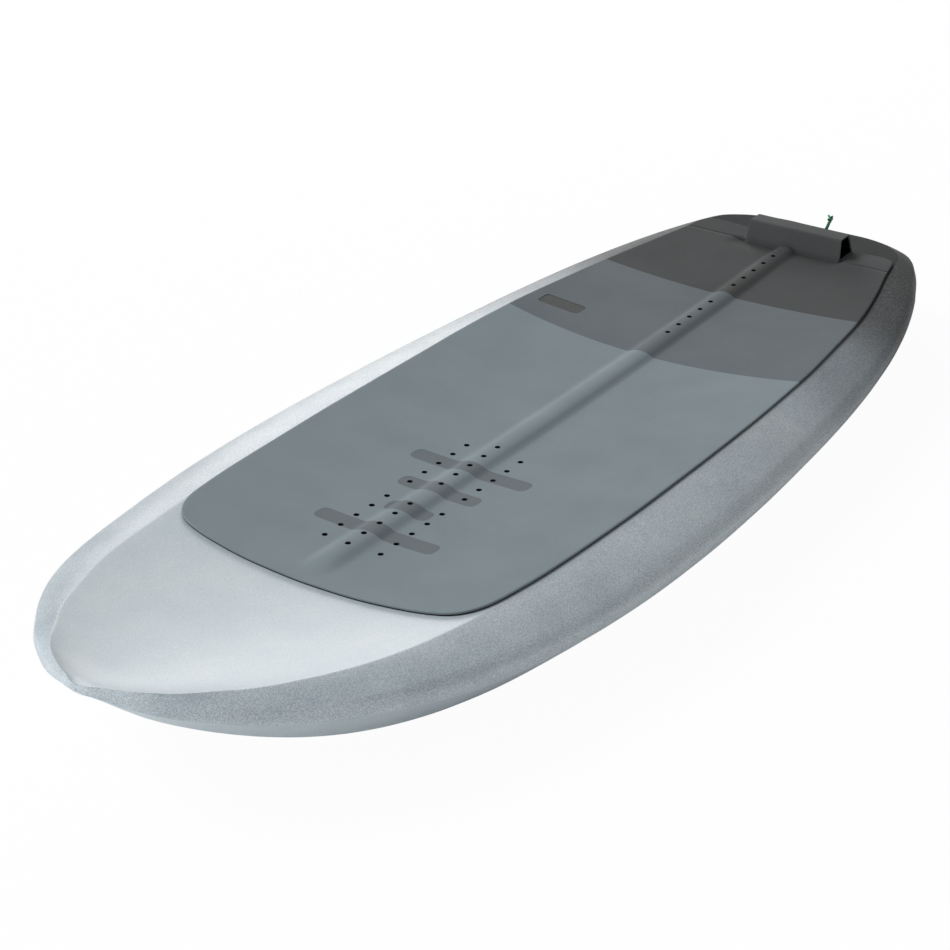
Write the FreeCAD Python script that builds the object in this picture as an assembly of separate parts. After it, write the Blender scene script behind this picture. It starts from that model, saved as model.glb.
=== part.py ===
import FreeCAD, Part
import math
import os

# A wing foil board, in mm. +X points to the nose, +Y to port and +Z up.
# z = 0 is the flat of the bottom, and x = 0 is the middle of the length.

# Board
board_length = 1417.0
board_width = 534.0
board_thickness = 105.0
deck_width = 404.0
skin = 4.0
end_skin = 6.0
flat_trim = 1.0
overrun = 40.0

# Half widths of the rail, the deck edge and the flat bottom: (share of the length from the tail, share of half
# the board's or the deck's width)
rail_half_shares = (
    (0.0, 0.118), (0.003, 0.17), (0.009, 0.28), (0.018, 0.418), (0.0325, 0.4975), (0.048, 0.545),
    (0.066, 0.5965), (0.0875, 0.646), (0.1, 0.674), (0.133, 0.7345), (0.165, 0.783), (0.221, 0.85),
    (0.299, 0.915), (0.35, 0.9435), (0.404, 0.9665), (0.49, 0.992), (0.56, 1.0), (0.6, 0.998),
    (0.634, 0.9925), (0.691, 0.971), (0.742, 0.934), (0.79, 0.884), (0.83, 0.83), (0.865, 0.766),
    (0.896, 0.688), (0.922, 0.594), (0.943, 0.4975), (0.958, 0.42), (0.974, 0.307), (0.983, 0.235),
    (0.991, 0.15), (0.996, 0.084), (1.0, 0.012),
)
deck_half_shares = (
    (0.0, 0.04), (0.003, 0.08), (0.007, 0.11), (0.014, 0.144), (0.02, 0.183), (0.023, 0.25),
    (0.028, 0.356), (0.04, 0.51), (0.061, 0.634), (0.084, 0.683), (0.106, 0.715), (0.148, 0.79),
    (0.205, 0.871), (0.261, 0.921), (0.339, 0.975), (0.43, 0.998), (0.505, 1.0), (0.575, 0.998),
    (0.639, 0.986), (0.702, 0.965), (0.748, 0.931), (0.792, 0.891), (0.828, 0.847), (0.861, 0.787),
    (0.903, 0.668), (0.931, 0.569), (0.951, 0.455), (0.967, 0.361), (0.976, 0.287), (0.983, 0.223),
    (0.991, 0.134), (0.995, 0.075), (1.0, 0.004),
)
flat_half_shares = (
    (0.0, 0.03), (0.003, 0.075), (0.009, 0.15), (0.018, 0.247), (0.0325, 0.356), (0.048, 0.423),
    (0.066, 0.464), (0.0875, 0.5015), (0.133, 0.562), (0.221, 0.637), (0.404, 0.723), (0.49, 0.75),
    (0.56, 0.758), (0.6, 0.755), (0.634, 0.745), (0.691, 0.7146), (0.742, 0.685), (0.79, 0.6457),
    (0.83, 0.61), (0.865, 0.562), (0.896, 0.49), (0.922, 0.397), (0.943, 0.302), (0.958, 0.235),
    (0.974, 0.165), (0.983, 0.118), (0.991, 0.07), (0.996, 0.036), (1.0, 0.006),
)

# Heights of the bottom, the deck's middle, the deck edge, the rail and the hard lower edge: (share of the
# length from the tail, share of the board's thickness)
bottom_shares = (
    (0.0, 0.629), (0.003, 0.575), (0.009, 0.472), (0.018, 0.33), (0.0325, 0.2), (0.048, 0.16),
    (0.066, 0.128), (0.0875, 0.092), (0.133, 0.035), (0.197, 0.0), (0.62, 0.0), (0.655, 0.008),
    (0.691, 0.032), (0.742, 0.087), (0.79, 0.169), (0.83, 0.28), (0.865, 0.395), (0.896, 0.506),
    (0.922, 0.612), (0.943, 0.718), (0.958, 0.815), (0.974, 0.94), (0.983, 1.024), (0.991, 1.11),
    (0.996, 1.175), (1.0, 1.23),
)
deck_middle_shares = (
    (0.0, 0.79), (0.0014, 0.81), (0.007, 0.87), (0.014, 0.945), (0.02, 0.99), (0.025, 1.008),
    (0.035, 1.021), (0.05, 1.034), (0.0635, 1.037), (0.106, 1.019), (0.205, 0.96), (0.275, 0.927), (0.346, 0.9),
    (0.416, 0.882), (0.487, 0.8705), (0.5575, 0.8667), (0.628, 0.8705), (0.699, 0.882), (0.7925, 0.902),
    (0.84, 0.928), (0.875, 0.966), (0.91, 1.02), (0.946, 1.093), (0.967, 1.144), (0.981, 1.202),
    (0.9915, 1.258), (1.0, 1.31),
)
deck_edge_shares = (
    (0.0, 0.79), (0.0014, 0.806), (0.007, 0.868), (0.014, 0.938), (0.02, 0.99), (0.025, 1.017),
    (0.04, 1.052), (0.0635, 1.079), (0.085, 1.076), (0.106, 1.057), (0.205, 1.007), (0.346, 1.009), (0.487, 0.99),
    (0.628, 0.983), (0.769, 1.007), (0.875, 1.105), (0.931, 1.19), (0.951, 1.229), (0.967, 1.243),
    (0.9845, 1.271), (1.0, 1.314),
)
rail_height_shares = (
    (0.0, 0.74), (0.003, 0.765), (0.009, 0.805), (0.018, 0.835), (0.0325, 0.846), (0.066, 0.85),
    (0.1, 0.848), (0.133, 0.839), (0.165, 0.828), (0.221, 0.799), (0.299, 0.751), (0.35, 0.728),
    (0.404, 0.72), (0.49, 0.723), (0.56, 0.732), (0.634, 0.745), (0.691, 0.761), (0.742, 0.784),
    (0.79, 0.817), (0.83, 0.856), (0.865, 0.894), (0.896, 0.936), (0.922, 0.985), (0.943, 1.032),
    (0.958, 1.066), (0.974, 1.107), (0.983, 1.143), (0.991, 1.2), (0.996, 1.245), (1.0, 1.28),
)
hard_edge_shares = (
    (0.0, 0.655), (0.009, 0.69), (0.018, 0.71), (0.0325, 0.722), (0.066, 0.72), (0.1, 0.702),
    (0.133, 0.681), (0.165, 0.668), (0.221, 0.66), (0.299, 0.643), (0.35, 0.63), (0.404, 0.617),
    (0.49, 0.597), (0.56, 0.59), (0.634, 0.598), (0.691, 0.615), (0.742, 0.639), (0.79, 0.681),
    (0.83, 0.745), (0.865, 0.813), (0.896, 0.867), (0.922, 0.915), (0.943, 0.964), (0.958, 1.014),
    (0.974, 1.065), (0.983, 1.1), (0.991, 1.157), (0.996, 1.2), (1.0, 1.235),
)
hard_edge_half_share = 0.985
bevel_crown_share = 0.075

# Where the rail's round meets the upper bevel: (share of the length, share of the way from the rail to the deck
# edge), first in towards the middle, then up
round_in_shares = ((0.0, 0.2), (0.1, 0.185), (0.3, 0.176), (0.55, 0.167), (0.76, 0.167), (0.9, 0.118), (1.0, 0.12))
round_up_shares = ((0.0, 0.545), (0.1, 0.54), (0.3, 0.455), (0.55, 0.466), (0.76, 0.475), (0.9, 0.53), (1.0, 0.54))

# Places of the board's sections, as shares of the length from the tail
station_shares = (
    0.0, 0.006, 0.014, 0.025, 0.04, 0.06, 0.085, 0.115, 0.15, 0.2, 0.26, 0.33, 0.41, 0.49, 0.57,
    0.64, 0.7, 0.75, 0.8, 0.84, 0.875, 0.905, 0.93, 0.95, 0.966, 0.978, 0.988, 0.995, 1.0,
)
core_tail_share = 0.014
core_nose_share = 0.978

# Deck pad, with its ridge along the middle
pad_thickness = 4.0
pad_margin = 2.0
ridge_height = 5.0
ridge_half_width = 21.0
ridge_steepness_share = 0.55
ridge_nose_start_share = 0.752
ridge_nose_end_share = 0.789
ridge_tail_start_share = 0.098
ridge_tail_end_share = 0.07
ridge_least_height = 0.05
pad_depth_share = 0.3
pad_station_shares = (
    0.055, 0.07, 0.085, 0.098, 0.12, 0.15, 0.19, 0.24, 0.3, 0.37, 0.45, 0.53, 0.61, 0.68, 0.72, 0.752,
    0.77, 0.789, 0.81,
)
pad_front_share = 0.7925
pad_front_points = ((0.787, 0.6), (0.782, 0.75), (0.7765, 0.83))
pad_side_shares = (0.76, 0.7, 0.62, 0.54, 0.46, 0.38, 0.3, 0.22, 0.17, 0.13, 0.107)

# Lines across the pad: where each crosses the centre line, and how far ahead it meets the deck's edge
seam_from_tail = 138.0
seam_bow = 13.9
seam_gap = 1.0
rear_tone_ahead = 164.0
rear_tone_bow = -10.9
front_tone_ahead = 360.0
front_tone_bow = -18.0
tail_pad_rear_from_tail = 104.0
tail_pad_rear_half = 106.0
tail_pad_corner_from_tail = 110.0
tail_pad_corner_half = 130.0
tail_pad_side_from_tail = 121.9

# Foot-strap inserts: strips of tapped holes under the pad
strap_pitch = 25.4
strap_holes = 5
strap_column_spacing = 34.4
strap_hole_diameter = 5.0
strap_hole_depth = 18.0
pad_hole_diameter = 6.0
pad_hole_overcut = 2.0
insert_width = 16.0
insert_end = 10.0
insert_depth = 24.0
front_middle_fore_setback = 177.9
front_middle_aft_setback = 333.0
front_side_fore_setback = 184.9
front_side_aft_setback = 325.5
rear_fore_ahead = 197.3
rear_aft_ahead = 38.9
strap_plate_depth = 34.0
strap_plate_margin = 12.0

# Stance marks let into the pad: each one's middle behind the pad's front, and its half length across
inlay_depth = 1.0
mark_width = 21.5
mark_shift = 3.0
mark_1_setback = 279.5
mark_1_half = 73.0
mark_2_setback = 223.5
mark_2_half = 48.5
mark_3_setback = 171.5
mark_3_half = 26.5
mark_4_setback = 117.5
mark_4_half = 73.0

# Rubber patch let into the pad
patch_ahead = 300.5
patch_side = 150.0
patch_width = 60.0
patch_length = 22.0
patch_corner = 4.0

# Kick block across the tail pad
block_height = 29.6
block_half_width = 70.0
block_shift = 3.7
block_setback = 1.5
block_front_lean = 0.6
block_top_length = 24.0
block_base_length = 36.2
block_cover = 2.2

# Foil tracks and their T-nuts
track_spacing = 90.0
track_middle_from_tail = 470.5
track_length = 300.0
track_width = 28.0
track_height = 30.0
track_slot_length = 254.0
track_slot_width = 9.6
track_lip = 6.0
track_channel_width = 17.6
track_channel_height = 9.0
track_relief_height = 24.0
track_mouth_length = 27.0
nut_spacing = 165.0
nut_length = 24.0
nut_height = 6.0
nut_side_clearance = 0.2
nut_lift = 0.2
nut_boss_height = 2.6
nut_bore_diameter = 6.8
block_side_margin = 6.0
block_end_margin = 12.0

# Carry handle in the bottom, ahead of the tracks
handle_ahead = 293.0
handle_length = 150.0
handle_width = 96.0
handle_depth = 46.0
handle_wall = 3.0
handle_flange = 8.0
handle_flange_thickness = 3.0
handle_corner = 22.0
grip_width = 26.0
grip_height = 16.0
grip_recess = 3.0
grip_socket = 1.5

# Vent in the bottom, ahead of the handle
vent_ahead = 410.0
vent_flange_diameter = 30.0
vent_flange_thickness = 2.0
vent_body_diameter = 22.0
vent_depth = 20.0
vent_recess_diameter = 17.0
vent_recess_depth = 8.0
vent_bore_diameter = 8.0
vent_bore_clearance = 0.05
vent_head_diameter = 15.0
vent_head_height = 3.0
vent_shank_length = 8.0
vent_slot_width = 1.8
vent_slot_depth = 1.4
seal_height = 1.4
seal_outer_diameter = 13.0
seal_clearance = 0.05
membrane_diameter = 14.0
membrane_thickness = 0.6

# Leash cup behind the kick block
cup_setback = 32.3
cup_y = 12.0
cup_diameter = 30.0
cup_flange_diameter = 38.0
cup_flange_thickness = 2.0
cup_wall = 3.0
cup_depth = 22.0
pin_diameter = 5.0
pin_depth = 12.0

# Leash cord: its route, from the pin up to the knot, and the two ends that stand out of the knot
cord_diameter = 4.0
cord_route = (
    (-640.5, 12.0, 98.6), (-640.8, 12.2, 105.2), (-641.0, 14.3, 111.8), (-640.6, 17.4, 118.2),
    (-640.2, 20.4, 124.7), (-640.5, 22.1, 130.4),
)
knot_diameter = 8.4
knot_rise = 3.2
cord_end_diameter = 3.0
cord_end_length = 4.0
cord_end_spread = 2.6
cord_arc_share = 0.45

# Places along the board, worked out from the sizes above
tail_x = -board_length / 2
pad_front_x = tail_x + board_length * pad_front_share
seam_x = tail_x + seam_from_tail
block_front_x = seam_x - block_setback
track_middle_x = tail_x + track_middle_from_tail
handle_x = track_middle_x + handle_ahead
vent_x = track_middle_x + vent_ahead
cup_x = block_front_x - block_base_length - cup_setback


def along(shares, place):
    """The share that a table gives at a place along the board, on a smooth line through its rows."""
    turns = [math.acos(1 - 2 * row[0]) for row in shares]
    values = [row[1] for row in shares]
    turn = math.acos(1 - 2 * min(max(place, 0.0), 1.0))
    last = len(turns) - 2
    index = 0
    while index < last and turns[index + 1] < turn:
        index += 1
    span = turns[index + 1] - turns[index]
    step = (turn - turns[index]) / span
    rise_in = slope(turns, values, index) * span
    rise_out = slope(turns, values, index + 1) * span
    square = step * step
    cube = square * step
    return (
        (2 * cube - 3 * square + 1) * values[index]
        + (cube - 2 * square + step) * rise_in
        + (3 * square - 2 * cube) * values[index + 1]
        + (cube - square) * rise_out
    )


def slope(turns, values, index):
    """Slope of the smooth line at a row, which never swings past its neighbours."""
    rises = []
    for low in (index - 1, index):
        if low >= 0 and low + 1 < len(turns):
            rises.append((values[low + 1] - values[low]) / (turns[low + 1] - turns[low]))
    if len(rises) == 1:
        return rises[0]
    if rises[0] * rises[1] <= 0:
        return 0.0
    return 2 * rises[0] * rises[1] / (rises[0] + rises[1])


def x_at(place):
    return tail_x + board_length * place


def place_at(x):
    return (x - tail_x) / board_length


def bottom_height(place):
    """Height of the bottom on the centre line."""
    return board_thickness * along(bottom_shares, place)


def deck_height(x, y):
    """Height of the bare deck."""
    place = place_at(x)
    middle = board_thickness * along(deck_middle_shares, place)
    edge = board_thickness * along(deck_edge_shares, place)
    half = deck_width / 2 * along(deck_half_shares, place)
    return middle + (edge - middle) * (y / half) ** 2


def curve(*points):
    """A smooth edge from the first point to the last, drawn towards those between."""
    bow = Part.BezierCurve()
    bow.setPoles([FreeCAD.Vector(*point) for point in points])
    return bow.toShape()


def line(start, end):
    return Part.makeLine(FreeCAD.Vector(*start), FreeCAD.Vector(*end))


def between(start, end, in_share, up_share):
    """The point at these shares of the way from start to end, across and up."""
    return (start[0] + in_share * (end[0] - start[0]), start[1] + up_share * (end[1] - start[1]))


def board_section(place, inset, end_inset):
    """Outline across the board at a place along it, with every side moved in by inset."""
    x = x_at(place) * (1 - 2 * end_inset / board_length)
    rail_half = board_width / 2 * along(rail_half_shares, place)
    rail = (rail_half - inset, board_thickness * along(rail_height_shares, place))
    edge_half = deck_width / 2 * along(deck_half_shares, place)
    edge = (edge_half - inset / 2, board_thickness * along(deck_edge_shares, place) - inset)
    hard_height = board_thickness * along(hard_edge_shares, place)
    hard = (rail_half * hard_edge_half_share - inset, hard_height + inset / 3)
    flat_half = board_width / 2 * along(flat_half_shares, place)
    flat = (flat_half - inset / 3, bottom_height(place) - flat_trim + inset)
    middle = board_thickness * along(deck_middle_shares, place) - inset
    rise = between(rail, edge, along(round_in_shares, place), along(round_up_shares, place))
    turn = (2 * rail[0] - (hard[0] + rise[0]) / 2, 2 * rail[1] - (hard[1] + rise[1]) / 2)
    bevel = between(rise, edge, 0.5, 0.5)
    crown = (bevel[0], bevel[1] + bevel_crown_share * (rise[0] - edge[0]))
    edges = [line((x, -flat[0], flat[1]), (x, flat[0], flat[1]))]
    for side in (1, -1):
        run = [
            line((x, side * flat[0], flat[1]), (x, side * hard[0], hard[1])),
            curve((x, side * hard[0], hard[1]), (x, side * turn[0], turn[1]), (x, side * rise[0], rise[1])),
            curve((x, side * rise[0], rise[1]), (x, side * crown[0], crown[1]), (x, side * edge[0], edge[1])),
        ]
        if side == 1:
            edges += run
            edges.append(curve((x, edge[0], edge[1]), (x, 0, 2 * middle - edge[1]), (x, -edge[0], edge[1])))
        else:
            edges += [
                curve((x, -edge[0], edge[1]), (x, -crown[0], crown[1]), (x, -rise[0], rise[1])),
                curve((x, -rise[0], rise[1]), (x, -turn[0], turn[1]), (x, -hard[0], hard[1])),
                line((x, -hard[0], hard[1]), (x, -flat[0], flat[1])),
            ]
    return Part.Wire(edges)


def board_body(places, inset, end_inset):
    """The board's whole outside, or its inside under the skin, with a true flat along the bottom."""
    body = Part.makeLoft([board_section(place, inset, end_inset) for place in places], True, False)
    return body.cut(box((-board_length, -board_width, -overrun), (board_length, board_width, inset)))


def box(low, high):
    size = [high[i] - low[i] for i in range(3)]
    return Part.makeBox(size[0], size[1], size[2], FreeCAD.Vector(*low))


def cylinder(diameter, foot, height, direction=(0, 0, 1)):
    return Part.makeCylinder(diameter / 2, height, FreeCAD.Vector(*foot), FreeCAD.Vector(*direction))


def joined(shapes):
    whole = shapes[0]
    for shape in shapes[1:]:
        whole = whole.fuse(shape)
    return whole.removeSplitter()


def rounded_box(low, high, corner):
    """A box with its four upright edges rounded."""
    body = box(low, high)
    upright = [
        edge for edge in body.Edges
        if abs(edge.Vertexes[0].Z - edge.Vertexes[1].Z) > (high[2] - low[2]) / 2
    ]
    return body.makeFillet(corner, upright)


def pad_section(place, lift):
    """Outline across the pad: its bottom lies inside the board, and its top carries the ridge."""
    x = x_at(place)
    middle = board_thickness * along(deck_middle_shares, place)
    edge = board_thickness * along(deck_edge_shares, place)
    half = deck_width / 2 * along(deck_half_shares, place)
    top = middle + lift
    foot_rise = (edge - middle) * (ridge_half_width / half) ** 2
    mid_rise = (edge - middle) * ridge_half_width / half
    ridge = max(ridge_least_height, ridge_height * ridge_share(place))
    floor = board_thickness * pad_depth_share
    lean = ridge_half_width * (1 - ridge_steepness_share)
    rim = (half, edge + lift)
    foot = (ridge_half_width, top + foot_rise)
    sweep = ((half + ridge_half_width) / 2, top + mid_rise)
    crown = top + ridge
    return Part.Wire([
        line((x, -half, floor), (x, half, floor)),
        line((x, half, floor), (x, rim[0], rim[1])),
        curve((x, rim[0], rim[1]), (x, sweep[0], sweep[1]), (x, foot[0], foot[1])),
        curve((x, foot[0], foot[1]), (x, lean, foot[1]), (x, lean, crown), (x, 0, crown)),
        curve((x, 0, crown), (x, -lean, crown), (x, -lean, foot[1]), (x, -foot[0], foot[1])),
        curve((x, -foot[0], foot[1]), (x, -sweep[0], sweep[1]), (x, -rim[0], rim[1])),
        line((x, -rim[0], rim[1]), (x, -half, floor)),
    ])


def ridge_share(place):
    """How much of the ridge's height stands at a place: it fades out at both ends."""
    nose = (ridge_nose_end_share - place) / (ridge_nose_end_share - ridge_nose_start_share)
    tail = (place - ridge_tail_end_share) / (ridge_tail_start_share - ridge_tail_end_share)
    return max(0.0, min(1.0, nose, tail))


def pad_body(lift):
    return Part.makeLoft([pad_section(place, lift) for place in pad_station_shares], True, False)


def spline(points):
    bow = Part.BSplineCurve()
    bow.interpolate([FreeCAD.Vector(*point) for point in points])
    return bow.toShape()


def prism(edges):
    """An upright block of the plan outline that these edges close."""
    face = Part.Face(Part.Wire(edges))
    return face.extrude(FreeCAD.Vector(0, 0, 2 * board_thickness))


def pad_half(x):
    return deck_width / 2 * along(deck_half_shares, place_at(x)) - pad_margin


def pad_outline():
    """Plan outline of the whole pad."""
    corners = [(x_at(place), deck_width / 2 * half_share, 0) for place, half_share in pad_front_points]
    side = [(x_at(place), pad_half(x_at(place)), 0) for place in pad_side_shares]
    tail_corner = [
        (tail_x + tail_pad_side_from_tail, pad_half(tail_x + tail_pad_side_from_tail), 0),
        (tail_x + tail_pad_corner_from_tail, tail_pad_corner_half, 0),
        (tail_x + tail_pad_rear_from_tail, tail_pad_rear_half, 0),
    ]
    nose = (pad_front_x, 0, 0)
    return [
        spline([mirrored(corners[0]), nose, corners[0]]),
        spline(corners),
        spline(corners[-1:] + side),
        line(side[-1], tail_corner[0]),
        spline(tail_corner),
        line(tail_corner[-1], mirrored(tail_corner[-1])),
        spline([mirrored(point) for point in reversed(tail_corner)]),
        line(mirrored(tail_corner[0]), mirrored(side[-1])),
        spline([mirrored(point) for point in reversed(corners[-1:] + side)]),
        spline([mirrored(point) for point in reversed(corners)]),
    ]


def mirrored(point):
    return (point[0], -point[1], point[2])


def ahead_of(middle_x, bow):
    """An upright block of everything ahead of a bowed line across the board."""
    half = board_width
    side_x = middle_x + bow * (2 * half / deck_width) ** 2
    bow_x = 2 * middle_x - side_x
    front = board_length
    return prism([
        curve((side_x, -half, 0), (bow_x, 0, 0), (side_x, half, 0)),
        line((side_x, half, 0), (front, half, 0)),
        line((front, half, 0), (front, -half, 0)),
        line((front, -half, 0), (side_x, -half, 0)),
    ])


def strips():
    """Each insert strip: name, x of its aft hole and y."""
    side = strap_column_spacing
    middle_fore = pad_front_x - front_middle_fore_setback
    middle_aft = pad_front_x - front_middle_aft_setback
    side_fore = pad_front_x - front_side_fore_setback
    side_aft = pad_front_x - front_side_aft_setback
    return [
        ("strap_insert_front_middle_fore", middle_fore, 0),
        ("strap_insert_front_middle_aft", middle_aft, 0),
        ("strap_insert_front_port_fore", side_fore, side),
        ("strap_insert_front_port_aft", side_aft, side),
        ("strap_insert_front_starboard_fore", side_fore, -side),
        ("strap_insert_front_starboard_aft", side_aft, -side),
        ("strap_insert_rear_fore", seam_x + rear_fore_ahead, 0),
        ("strap_insert_rear_aft", seam_x + rear_aft_ahead, 0),
    ]


def strip_box(x, y):
    """Space of one insert strip, from its foot up past the deck."""
    reach = (strap_holes - 1) * strap_pitch
    middle = deck_height(x + reach / 2, y)
    low = (x - insert_end, y - insert_width / 2, middle - insert_depth)
    high = (x + reach + insert_end, y + insert_width / 2, middle + overrun)
    return box(low, high)


def strip_holes(x, y, diameter, depth):
    holes = []
    for count in range(strap_holes):
        hole_x = x + count * strap_pitch
        foot = deck_height(hole_x, y) - depth
        holes.append(cylinder(diameter, (hole_x, y, foot), depth + overrun))
    return Part.makeCompound(holes)


def strap_insert(outside, x, y):
    return strip_box(x, y).common(outside).cut(strip_holes(x, y, strap_hole_diameter, strap_hole_depth))


def front_plate_box():
    reach = (strap_holes - 1) * strap_pitch
    low_x = pad_front_x - front_middle_aft_setback - insert_end - strap_plate_margin
    high_x = pad_front_x - front_middle_fore_setback + reach + insert_end + strap_plate_margin
    half = strap_column_spacing + insert_width / 2 + strap_plate_margin
    low = deck_height((low_x + high_x) / 2, 0) - strap_plate_depth
    return box((low_x, -half, low), (high_x, half, low + strap_plate_depth + overrun))


def rear_plate_box():
    rear_x = seam_x + rear_aft_ahead
    low_x = rear_x - insert_end - strap_plate_margin
    half = insert_width / 2 + strap_plate_margin
    low = deck_height(rear_x, 0) - strap_plate_depth
    return box((low_x, -half, low), (track_block_low()[0], half, low + strap_plate_depth + overrun))


def track_block_low():
    half = track_spacing / 2 + track_width / 2 + block_side_margin
    return (track_middle_x - track_length / 2 - block_end_margin, -half, 0)


def track_block_box():
    low = track_block_low()
    return box(low, (2 * track_middle_x - low[0], -low[1], board_thickness))


def track_box(side):
    y = side * track_spacing / 2
    half = track_length / 2
    return box(
        (track_middle_x - half, y - track_width / 2, 0),
        (track_middle_x + half, y + track_width / 2, track_height),
    )


def foil_track(side):
    """One track: a moulded box with a slot, a T channel over it and a wide mouth in the middle."""
    y = side * track_spacing / 2
    half = track_slot_length / 2
    channel_half = track_channel_width / 2
    channel_top = track_lip + track_channel_height
    mouth_half = track_mouth_length / 2
    slot = box(
        (track_middle_x - half, y - track_slot_width / 2, -overrun),
        (track_middle_x + half, y + track_slot_width / 2, track_relief_height),
    )
    channel = box(
        (track_middle_x - half, y - channel_half, track_lip),
        (track_middle_x + half, y + channel_half, channel_top),
    )
    mouth = box(
        (track_middle_x - mouth_half, y - channel_half, -overrun),
        (track_middle_x + mouth_half, y + channel_half, channel_top),
    )
    return track_box(side).cut(slot).cut(channel).cut(mouth)


def t_nut(side, end):
    """A T-nut in its channel: a plate with a low boss that runs in the slot."""
    x = track_middle_x + end * nut_spacing / 2
    y = side * track_spacing / 2
    plate_half = track_channel_width / 2 - nut_side_clearance
    boss_half = track_slot_width / 2 - nut_side_clearance
    foot = track_lip + nut_lift
    low_x = x - nut_length / 2
    high_x = x + nut_length / 2
    plate = box((low_x, y - plate_half, foot), (high_x, y + plate_half, foot + nut_height))
    boss = box((low_x, y - boss_half, foot - nut_boss_height), (high_x, y + boss_half, foot))
    bore = cylinder(nut_bore_diameter, (x, y, 0), track_relief_height)
    return joined([plate, boss]).cut(bore)


def handle_outer():
    half_length = handle_length / 2
    half_width = handle_width / 2
    wall = handle_wall
    body = rounded_box(
        (handle_x - half_length - wall, -half_width - wall, 0),
        (handle_x + half_length + wall, half_width + wall, handle_depth + wall),
        handle_corner + wall,
    )
    rim = handle_flange
    flange = rounded_box(
        (handle_x - half_length - rim, -half_width - rim, 0),
        (handle_x + half_length + rim, half_width + rim, handle_flange_thickness),
        handle_corner + rim,
    )
    return joined([body, flange])


def grip_bar():
    """The grip: a flattened bar along the board, its ends let into the recess's end walls."""
    middle = grip_recess + grip_height / 2
    half_length = handle_length / 2 + grip_socket
    ellipse = Part.Ellipse(FreeCAD.Vector(0, 0, 0), grip_width / 2, grip_height / 2).toShape()
    face = Part.Face(Part.Wire([ellipse]))
    bar = face.extrude(FreeCAD.Vector(0, 0, 2 * half_length))
    bar.rotate(FreeCAD.Vector(0, 0, 0), FreeCAD.Vector(0, 0, 1), 90)
    bar.rotate(FreeCAD.Vector(0, 0, 0), FreeCAD.Vector(0, 1, 0), 90)
    bar.translate(FreeCAD.Vector(handle_x - half_length, 0, middle))
    return bar


def handle_cup():
    half_length = handle_length / 2
    half_width = handle_width / 2
    hollow = rounded_box(
        (handle_x - half_length, -half_width, -overrun),
        (handle_x + half_length, half_width, handle_depth),
        handle_corner,
    )
    return handle_outer().cut(hollow).cut(grip_bar())


def vent_outer():
    flange = cylinder(vent_flange_diameter, (vent_x, 0, 0), vent_flange_thickness)
    return joined([flange, cylinder(vent_body_diameter, (vent_x, 0, 0), vent_depth)])


def vent_bush():
    """The bush: a recess for the screw's head, a bore for its shank and a seat for the membrane inside."""
    bush = vent_outer()
    bush = bush.cut(cylinder(vent_recess_diameter, (vent_x, 0, 0), vent_recess_depth))
    bush = bush.cut(cylinder(vent_bore_diameter, (vent_x, 0, 0), vent_depth))
    seat = cylinder(membrane_diameter, (vent_x, 0, vent_depth - membrane_thickness), membrane_thickness)
    return bush.cut(seat)


def seal_top():
    return vent_recess_depth - seal_clearance


def vent_seal():
    bore = vent_bore_diameter
    ring = cylinder(seal_outer_diameter, (vent_x, 0, seal_top() - seal_height), seal_height)
    return ring.cut(cylinder(bore, (vent_x, 0, seal_top() - seal_height), seal_height))


def vent_screw():
    """The screw: a head with a coin slot under the seal, and a plain shank in the bush's bore."""
    head_top = seal_top() - seal_height - seal_clearance
    head_foot = head_top - vent_head_height
    head = cylinder(vent_head_diameter, (vent_x, 0, head_foot), vent_head_height)
    shank = cylinder(vent_bore_diameter - 2 * vent_bore_clearance, (vent_x, 0, head_top), vent_shank_length)
    half = vent_head_diameter
    slot = box(
        (vent_x - half, -vent_slot_width / 2, head_foot),
        (vent_x + half, vent_slot_width / 2, head_foot + vent_slot_depth),
    )
    return joined([head, shank]).cut(slot)


def vent_membrane():
    return cylinder(membrane_diameter, (vent_x, 0, vent_depth - membrane_thickness), membrane_thickness)


def cup_top():
    """Height of the leash cup's rim: the deck at the cup's middle."""
    return deck_height(cup_x, cup_y)


def cup_outer():
    top = cup_top()
    body = cylinder(cup_diameter, (cup_x, cup_y, top - cup_depth), cup_depth + overrun)
    flange = cylinder(cup_flange_diameter, (cup_x, cup_y, top - cup_flange_thickness), overrun)
    return joined([body, flange])


def pin_height():
    return cup_top() - pin_depth


def leash_pin():
    reach = cup_diameter / 2 - cup_wall / 2
    return cylinder(pin_diameter, (cup_x, cup_y - reach, pin_height()), 2 * reach, (0, 1, 0))


def leash_cup(outside):
    hollow = cylinder(
        cup_diameter - 2 * cup_wall,
        (cup_x, cup_y, cup_top() - cup_depth + cup_wall),
        cup_depth + overrun,
    )
    return cup_outer().common(outside).cut(hollow).cut(leash_pin())


def cord_path(points):
    """Straight runs joined by tangent arcs, each as large as its two runs allow."""
    corners = [FreeCAD.Vector(*point) for point in points]
    edges = []
    start = corners[0]
    for before, corner, after in zip(corners, corners[1:], corners[2:]):
        way_in = corner - before
        way_out = after - corner
        shorter = min(way_in.Length, way_out.Length)
        turn = way_in.getAngle(way_out)
        setback = cord_arc_share * shorter
        radius = setback / math.tan(turn / 2)
        print("cord radius", round(radius, 1))
        way_in.normalize()
        way_out.normalize()
        arc_start = corner - way_in * setback
        arc_end = corner + way_out * setback
        inward = way_out - way_in
        inward.normalize()
        centre = corner + inward * (radius / math.cos(turn / 2))
        middle = centre - inward * radius
        edges.append(Part.LineSegment(start, arc_start).toShape())
        edges.append(Part.Arc(arc_start, middle, arc_end).toShape())
        start = arc_end
    edges.append(Part.LineSegment(start, corners[-1]).toShape())
    return Part.Wire(edges)


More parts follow.
